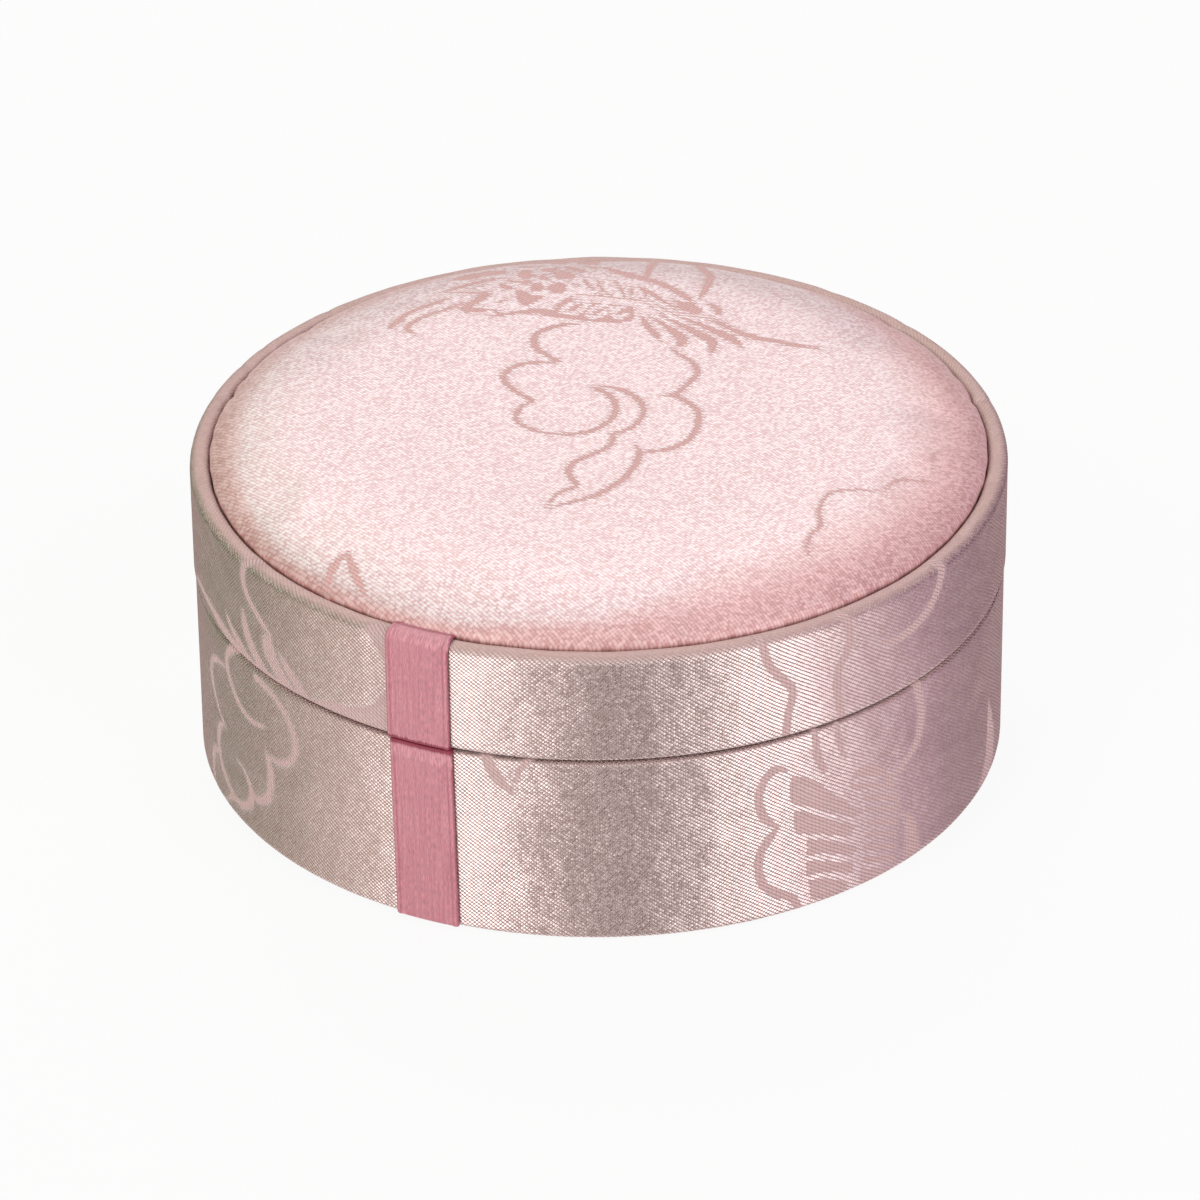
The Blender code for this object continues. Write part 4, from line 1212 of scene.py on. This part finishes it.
def settle(places, free_height):
    """Let a disc of cloth settle under pressure from inside, and return how far each point moves.

    A coarse copy of the square grid runs as simulated cloth with a little slack, and its lower
    side stays pinned. Its moves, SIM_REACH at most, are spread over the fine grid by weights
    that are linear between the four nearest coarse points.
    """
    count = (len(places) - 1) // 2
    picks = np.round(np.linspace(-count, count, 2 * SIM_RINGS + 1)).astype(int) + count
    coarse = places[np.ix_(picks, picks)]
    size = len(picks)
    mesh = bpy.data.meshes.new("pad_sim")
    faces = grid_faces(size, size, False, False)[:, ::-1]
    mesh.from_pydata(coarse.reshape(-1, 3), [], faces.tolist())
    cloth_piece = place_object("pad_sim", mesh)
    held = cloth_piece.vertex_groups.new(name="held")
    held.add(np.flatnonzero(coarse[..., 2].ravel() < free_height).tolist(), 1.0, "REPLACE")
    cloth = cloth_piece.modifiers.new("Cloth", "CLOTH")
    settings = cloth.settings
    settings.quality = 6
    settings.mass = 0.2
    settings.vertex_group_mass = "held"
    settings.shrink_min = -0.012
    settings.use_pressure = True
    settings.uniform_pressure_force = 4.0
    settings.effector_weights.gravity = 0.0
    settings.tension_stiffness = 25.0
    settings.compression_stiffness = 25.0
    settings.bending_stiffness = 0.3
    scene = bpy.context.scene
    cloth.point_cache.frame_start = 1
    cloth.point_cache.frame_end = SIM_FRAMES
    for step in range(1, SIM_FRAMES + 1):
        scene.frame_set(step)
    evaluated = cloth_piece.evaluated_get(bpy.context.evaluated_depsgraph_get())
    found = np.empty(size * size * 3)
    evaluated.data.vertices.foreach_get("co", found)
    moves = found.reshape(size, size, 3) - coarse
    scene.frame_set(1)
    bpy.data.objects.remove(cloth_piece)
    lengths = np.linalg.norm(moves, axis=-1, keepdims=True)
    moves = moves * np.minimum(1.0, SIM_REACH / np.maximum(lengths, TINY))
    for _ in range(3):
        beside = moves[:-2, 1:-1] + moves[2:, 1:-1] + moves[1:-1, :-2] + moves[1:-1, 2:]
        moves[1:-1, 1:-1] = (moves[1:-1, 1:-1] * 2 + beside) / 6
    spots = np.interp(np.arange(2 * count + 1), picks, np.arange(size))
    low = np.minimum(spots.astype(int), size - 2)
    part = spots - low
    rows = moves[low] * (1 - part)[:, None, None] + moves[low + 1] * part[:, None, None]
    return rows[:, low] * (1 - part)[None, :, None] + rows[:, low + 1] * part[None, :, None]


def add_top_pad():
    """The crowned pad, whose cloth is drawn over its foam and tucked down inside the rim."""
    path = cushion_path(
        "top_pad_cover", "top_pad_card", BROCADE, PAD_CROWN, PAD_FULLNESS, PAD_DRAW_IN, PAD_SPACING
    )
    lip = np.interp(path[:, 1] - LID_BOARD[3], PAD_LIP_HEIGHTS, PAD_LIP)
    path[:, 0] += lip * np.clip(path[:, 0] / path[:, 0].max(), 0, 1) ** 12
    rings, angles = disc_grid(len(path) - 1)
    edge_share = np.clip((path[rings, 0] / path[:, 0].max() - 0.90) / 0.10, 0, 1) ** 2
    turn = np.arctan2(np.sin(angles), np.cos(angles))
    fold = bells(turn + math.pi / 2, PAD_PLEATS)
    out = edge_share * (wander(turn, 31, 10, 70, 0.22 * MM) - 0.05 * MM - fold * 0.5)
    rise = (wander(turn, 32, 2, 9, 0.10 * MM) - fold) * edge_share
    rise = np.where(path[rings, 1] > path[-1, 1] + 1.5 * MM, rise, 0.0)
    places = disc_places(rings, angles, path, out, rise)
    places = places + settle(places, LID_BOARD[3] + 0.4 * MM)
    piece = closed_disc("pad_brocade", places, "lid", "pad_brocade", "top_pad_cover")
    x, y, heights = places.reshape(-1, 3).T
    turn_back = math.radians(-PAD_CLOTH_DEG)
    spots = np.stack([
        x * math.cos(turn_back) - y * math.sin(turn_back),
        x * math.sin(turn_back) + y * math.cos(turn_back),
    ], 1) / MM
    figures = (PAD_STROKES + CRANE_STROKES, CRANE_PATCHES, CRANE_CUTS)
    # How far each point lies below the crown; the lowest band, tucked in by the rim, gets painted shade
    # from it.
    mark(piece.data, "roll", np.clip((heights.max() - heights) / PAD_CROWN, 0, 1))
    # Share of painted shade towards the pad's edge.
    mark(piece.data, "painted_edge_shade", painted_edge_shade(places))
    mark(piece.data, "taut", np.zeros(len(heights)))
    mark(piece.data, "figure", figure_distance(spots, *figures))


def add_panel(name, node, card, rise, fullness, draw_in, body, spacing, hangs=False):
    """A satin cushion: floor, post or ceiling."""
    path = cushion_path(node, card, SATIN, rise, fullness, draw_in, spacing, hangs)
    places = disc_places(*disc_grid(len(path) - 1), path)
    if hangs:
        places[..., 0] *= -1
    closed_disc(name, places, body, "satin", node)


def add_cushions():
    """Floor cushion, post and ceiling panel."""
    add_panel(
        "floor_satin", "floor_cushion_cover", "floor_cushion_card",
        1.2 * MM, 8.0, 0.6 * MM, "base", 1.0 * MM,
    )
    add_panel("post_satin", "post_cover", "post_card", 3.6 * MM, 5.0, 0.8 * MM, "base", 0.8 * MM)
    add_panel(
        "ceiling_satin", "ceiling_cover", "ceiling_card",
        1.0 * MM, 8.0, 0.5 * MM, "lid", 1.0 * MM, hangs=True,
    )


# Points round each satin lining
LINING_COLUMNS = 360


def satin_band(name, path, body, node):
    """A satin lining carried round the axis, with its cloth's thickness."""
    angles = math.tau * np.arange(LINING_COLUMNS) / LINING_COLUMNS
    section, origin = cover_section(path, SATIN, 3)
    lengths = path_length(path)
    out = wander(angles[None], 41, 5, 40, 0.03 * MM)
    mesh, _ = revolved(name, section, lengths[origin], LINING_COLUMNS, out, 0.0)
    piece = add_piece(name, mesh, body, "satin", node)


def add_linings():
    """Satin over the neck and inside the lid."""
    inner, outer, _, top = NECK_BOARD
    proud = GLUE + SATIN
    fold = NECK_ROUND + proud
    height = top - NECK_ROUND
    outside_foot = BASE_COVER[3] - NECK_COVER_FOOT
    path = np.vstack([
        straight((inner - proud, NECK_COVER[2]), (inner - proud, height), 1.0 * MM),
        bend((inner + NECK_ROUND, height), fold, 180, 90, 0.2 * MM),
        bend((outer - NECK_ROUND, height), fold, 90, 0, 0.2 * MM),
        straight((outer + proud, height), (outer + proud, outside_foot), 1.0 * MM),
        [(outer + proud, outside_foot)],
    ])
    satin_band("neck_satin", path, "base", "neck_lining")
    inner, _, bottom, top = reach("lid_wall_lining")
    path = np.vstack([straight((inner, bottom), (inner, top), 1.0 * MM), [(inner, top)]])
    satin_band("lid_satin", path, "lid", "lid_wall_lining")


RIBBON_WIDTH = 8.9 * MM
RIBBON_GRID = 72
RIBBON_BEAD = 0.10 * MM


def ribbon_strip(name, path, centre, body, node):
    """A ribbon carried along a path at the front; centre gives its middle for each height."""
    section_across = np.linspace(-0.5, 0.5, RIBBON_GRID + 1)
    normals = path_normals(path)
    lengths = path_length(path)
    edge = np.abs(section_across) * 2
    bead = np.exp(-((edge - 0.90) / 0.06) ** 2) - np.clip((edge - 0.94) / 0.06, 0, 1)
    front_lift = RIBBON_BEAD * bead + wander(section_across * math.tau, 51, 9, 30, 0.02 * MM)
    angles = (centre(path[:, 1])[:, None] + RIBBON_WIDTH * section_across[None]) / OUTER_RADIUS
    sides = []
    for lift in (front_lift, np.full_like(front_lift, -RIBBON)):
        radii = path[:, 0][:, None] + normals[:, 0][:, None] * lift[None]
        heights = path[:, 1][:, None] + normals[:, 1][:, None] * lift[None]
        sides.append(np.stack([radii * np.sin(angles), -radii * np.cos(angles), heights], -1))
    front, back = sides
    grid = np.concatenate([front, back[:, ::-1]], 1)
    rows, columns = grid.shape[:2]
    marks = np.concatenate([section_across, section_across[::-1], section_across[:1]]) * RIBBON_WIDTH
    faces = grid_faces(rows, columns, False, True)
    corners = grid_corners(rows, columns, False, True, lengths, marks)
    j = np.arange(RIBBON_GRID)
    cap = np.stack([j, j + 1, columns - 2 - j, columns - 1 - j], 1)
    caps = np.vstack([cap[:, ::-1], cap + (rows - 1) * columns])
    cap_corners = np.zeros((len(caps), 4, 2))
    cap_corners[..., 0] = marks[caps % columns]
    cap_corners[..., 1] = lengths[caps // columns]
    mesh = make_mesh(name, grid, np.vstack([faces, caps]), np.vstack([corners, cap_corners]))
    mark(mesh, "from_seam", np.abs(grid[..., 2] - SEAM_HEIGHT) / MM)
    add_piece(name, mesh, body, "ribbon", node)


SEAM_HEIGHT = (LID_COVER[2] + BASE_COVER[3]) / 2
RIBBON_TUCK_ROUND = 0.38 * MM
RIBBON_TUCK_RADIUS = 53.4 * MM
RIBBON_TUCK_GAP = 0.04 * MM


def add_ribbons():
    """The band up the front: over the rim, down to the seam and tucked into it from both sides."""
    proud = GLUE + RIBBON
    inner, outer, _, top = LID_BOARD
    fold = BROCADE + GLUE + proud
    rim = RIM_ROUND + fold
    height = top - RIM_ROUND
    tuck = RIBBON_TUCK_ROUND
    low = LID_COVER[2] - RIBBON_TUCK_GAP
    path = np.vstack([
        bend((inner + RIM_ROUND, height), rim, 150, 90, 0.12 * MM),
        straight((inner + RIM_ROUND, height + rim), (outer - RIM_ROUND, height + rim), 0.2 * MM),
        bend((outer - RIM_ROUND, height), rim, 90, 0, 0.12 * MM),
        straight((outer + fold, height), (outer + fold, low + tuck), 0.3 * MM),
        bend((outer + fold - tuck, low + tuck), tuck, 0, -90, 0.06 * MM),
        straight((outer + fold - tuck, low), (RIBBON_TUCK_RADIUS, low), 0.3 * MM),
    ])
    ribbon_strip("lid_band", path, lambda heights: -0.35 * MM + 0 * heights, "lid", "lid_ribbon")
    _, outer, bottom, _ = BASE_BOARD
    high = BASE_COVER[3] + RIBBON_TUCK_GAP
    path = np.vstack([
        straight((RIBBON_TUCK_RADIUS, high), (outer + fold - tuck, high), 0.3 * MM),
        bend((outer + fold - tuck, high - tuck), tuck, 90, 0, 0.06 * MM),
        straight((outer + fold, high - tuck), (outer + fold, bottom), 0.3 * MM),
        bend((outer, bottom), fold, 0, -25, 0.12 * MM),
    ])
    lean = 0.45 * MM
    ribbon_strip(
        "base_band", path, lambda heights: -0.15 * MM + lean * (1 - heights / BASE_COVER[3]),
        "base", "base_ribbon",
    )


# Camera, floor and light

CAMERA_TURN_DEG = 25.1
CAMERA_RISE_DEG = 30.745
CAMERA_DISTANCE = 948.9 * MM
AIM_HEIGHT = 21.99 * MM
CAMERA_PAN_DEG = -0.002
CAMERA_TILT_DEG = -0.131
CAMERA_ROLL_DEG = -0.637
FOCAL_PIXELS = 6971.0
PICTURE_PIXELS = 1200.0
SENSOR = 36.0


def place_camera():
    """A long lens at the photograph's angle, aimed near the box's middle."""
    rise = math.radians(CAMERA_RISE_DEG)
    pan, tilt, roll = (math.radians(x) for x in (CAMERA_PAN_DEG, CAMERA_TILT_DEG, CAMERA_ROLL_DEG))
    back = Vector((0, -math.cos(rise), math.sin(rise)))
    right = Vector((1, 0, 0))
    ahead = -back
    up = right.cross(ahead)
    ahead = (
        ahead * math.cos(pan) * math.cos(tilt) + right * math.sin(pan) * math.cos(tilt)
        + up * math.sin(tilt)
    )
    right = ahead.cross(up).normalized()
    up = right.cross(ahead)
    right, up = right * math.cos(roll) + up * math.sin(roll), up * math.cos(roll) - right * math.sin(roll)
    turn = Matrix.Rotation(math.radians(CAMERA_TURN_DEG), 3, "Z")
    axes = turn @ Matrix((right, up, -ahead)).transposed()
    data = bpy.data.cameras.new("Camera")
    data.sensor_width = SENSOR
    data.lens = FOCAL_PIXELS / PICTURE_PIXELS * SENSOR
    data.clip_start = 0.05
    camera = place_object("Camera", data)
    camera.matrix_world = Matrix.Translation(
        turn @ (back * CAMERA_DISTANCE) + Vector((0, 0, AIM_HEIGHT))
    ) @ axes.to_4x4()
    bpy.context.scene.camera = camera


def direction(turn_deg, rise_deg):
    """Unit vector from the box, turned from the front towards +X and raised."""
    turn, rise = math.radians(turn_deg), math.radians(rise_deg)
    return Vector((math.sin(turn) * math.cos(rise), -math.cos(turn) * math.cos(rise), math.sin(rise)))


def add_softbox(name, turn_deg, rise_deg, distance, width, height, brightness):
    """An area lamp that faces the box; brightness is its radiance."""
    data = bpy.data.lights.new(name, "AREA")
    data.shape = "RECTANGLE"
    data.size = width
    data.size_y = height
    data.energy = brightness * math.pi * width * height
    lamp = place_object(name, data)
    back = direction(turn_deg, rise_deg)
    lamp.location = back * distance + Vector((0, 0, AIM_HEIGHT))
    lamp.rotation_euler = back.to_track_quat("Z", "Y").to_euler()
    lamp.visible_camera = False


def seen_share(tree):
    """1 for camera, glossy and transmission rays, so that all of them show the background."""
    path = tree.nodes.new("ShaderNodeLightPath")
    first = tree.nodes.new("ShaderNodeMath")
    first.operation = "ADD"
    tree.links.new(path.outputs["Is Camera Ray"], first.inputs[0])
    tree.links.new(path.outputs["Is Glossy Ray"], first.inputs[1])
    second = tree.nodes.new("ShaderNodeMath")
    second.operation = "ADD"
    second.use_clamp = True
    tree.links.new(first.outputs[0], second.inputs[0])
    tree.links.new(path.outputs["Is Transmission Ray"], second.inputs[1])
    return second.outputs[0]


AMBIENT = 0.25

# Soft-toned screens all round the set: degrees round from the ribbon, and the light they give off
SCREEN_RADIUS = 1.6
SCREEN_HEIGHT = 3.2
SCREEN_STEPS = 180
SCREEN_TONES = (
    (-180.0, (0.08, 0.05, 0.06)), (-150.0, (0.12, 0.06, 0.10)), (-130.0, (0.02, 0.14, 0.00)),
    (-108.0, (0.00, 0.20, 0.00)), (-85.0, (0.03, 0.15, 0.02)), (-65.0, (0.36, 0.33, 0.26)),
    (-45.0, (0.95, 0.88, 0.76)), (-25.0, (0.50, 0.47, 0.45)), (-5.0, (0.75, 0.66, 0.66)),
    (15.0, (0.10, 0.08, 0.08)), (40.0, (0.03, 0.03, 0.03)), (60.0, (0.10, 0.09, 0.09)),
    (75.0, (0.40, 0.37, 0.38)), (95.0, (1.00, 0.77, 0.87)), (115.0, (0.50, 0.30, 0.48)),
    (140.0, (0.08, 0.00, 0.10)), (165.0, (0.06, 0.00, 0.08)), (180.0, (0.08, 0.05, 0.06)),
)
SCREEN_MARKS = ("screen_red", "screen_green", "screen_blue")


def add_screens():
    """A ring of screens outside the lamps, unseen by the camera."""
    degrees = np.linspace(-180, 180, SCREEN_STEPS, endpoint=False)
    angles = np.radians(degrees)
    ring = np.stack([SCREEN_RADIUS * np.sin(angles), -SCREEN_RADIUS * np.cos(angles), 0 * angles], -1)
    places = np.stack([ring, ring + (0, 0, SCREEN_HEIGHT)])
    mesh = make_mesh("screens", places, grid_faces(2, SCREEN_STEPS, False, True))
    known = [place for place, _ in SCREEN_TONES]
    for channel, name in enumerate(SCREEN_MARKS):
        tones = np.interp(degrees, known, [tone[channel] for _, tone in SCREEN_TONES])
        mark(mesh, name, np.tile(tones, 2))
    finish = Finish("Soft screens")
    parts = [finish.attribute(name) for name in SCREEN_MARKS]
    colour = finish.node("ShaderNodeCombineColor", None, parts)
    finish.show(finish.node("ShaderNodeEmission", None, {"Color": colour}))
    mesh.materials.append(finish.material)
    screens = place_object("screens", mesh)
    screens.visible_camera = False
    screens.visible_shadow = False


def light_world():
    """White behind everything, and a plain pale grey for the light it gives."""
    world = bpy.data.worlds.new("World")
    world.use_nodes = True
    tree = world.node_tree
    background = tree.nodes["Background"]
    mix = tree.nodes.new("ShaderNodeMix")
    mix.data_type = "RGBA"
    mix.inputs[6].default_value = (AMBIENT, AMBIENT, AMBIENT, 1)
    mix.inputs[7].default_value = (1, 1, 1, 1)
    tree.links.new(seen_share(tree), mix.inputs[0])
    tree.links.new(mix.outputs[2], background.inputs["Color"])
    bpy.context.scene.world = world


FLOOR_RADII = (0.0005, 0.1, 0.4, 1.0, 2.2)
FLOOR_COLUMNS = 96


def add_floor():
    """A wide pale floor that shows white and keeps the box's soft shadow."""
    angles = math.tau * np.arange(FLOOR_COLUMNS) / FLOOR_COLUMNS
    radii = np.array(FLOOR_RADII)[:, None]
    places = np.stack([radii * np.cos(angles), radii * np.sin(angles), radii * 0 * angles], -1)
    mesh = make_mesh("floor", places, grid_faces(len(FLOOR_RADII), FLOOR_COLUMNS, False, True))
    finish = Finish("White floor", Roughness=0.9)
    x, y, _ = finish.object_place()
    grain = finish.noise(finish.triple(x, y), 0.05, 3.0)
    finish.feed("Base Color", finish.tint((0.93, 0.93, 0.93), 0.99 + grain * 0.02))
    share = Signal(finish, seen_share(finish.tree)) * 0.9
    plain = Signal(finish, finish.shader.outputs[0])
    glow = finish.node("ShaderNodeEmission", None, {"Strength": 1.0})
    finish.show(finish.node("ShaderNodeMixShader", None, (share, plain, glow)))
    mesh.materials.append(finish.material)
    place_object("floor", mesh)


def light_scene():
    """Soft light from above and behind, and two upright softboxes that the satin shows as bands."""
    add_softbox("Back softbox", -151.0, 43.0, 1.3, 1.15, 0.9, 2.45)
    add_softbox("Left softbox", -14.0, 34.0, 1.15, 0.55, 1.0, 2.4)
    add_softbox("Right softbox", 70.0, 34.0, 1.15, 0.57, 1.0, 2.4)


dress_nodes()
add_covers()
add_top_pad()
add_cushions()
add_linings()
add_ribbons()
place_camera()
light_world()
add_floor()
add_screens()
light_scene()
bpy.context.scene.view_settings.view_transform = "Standard"
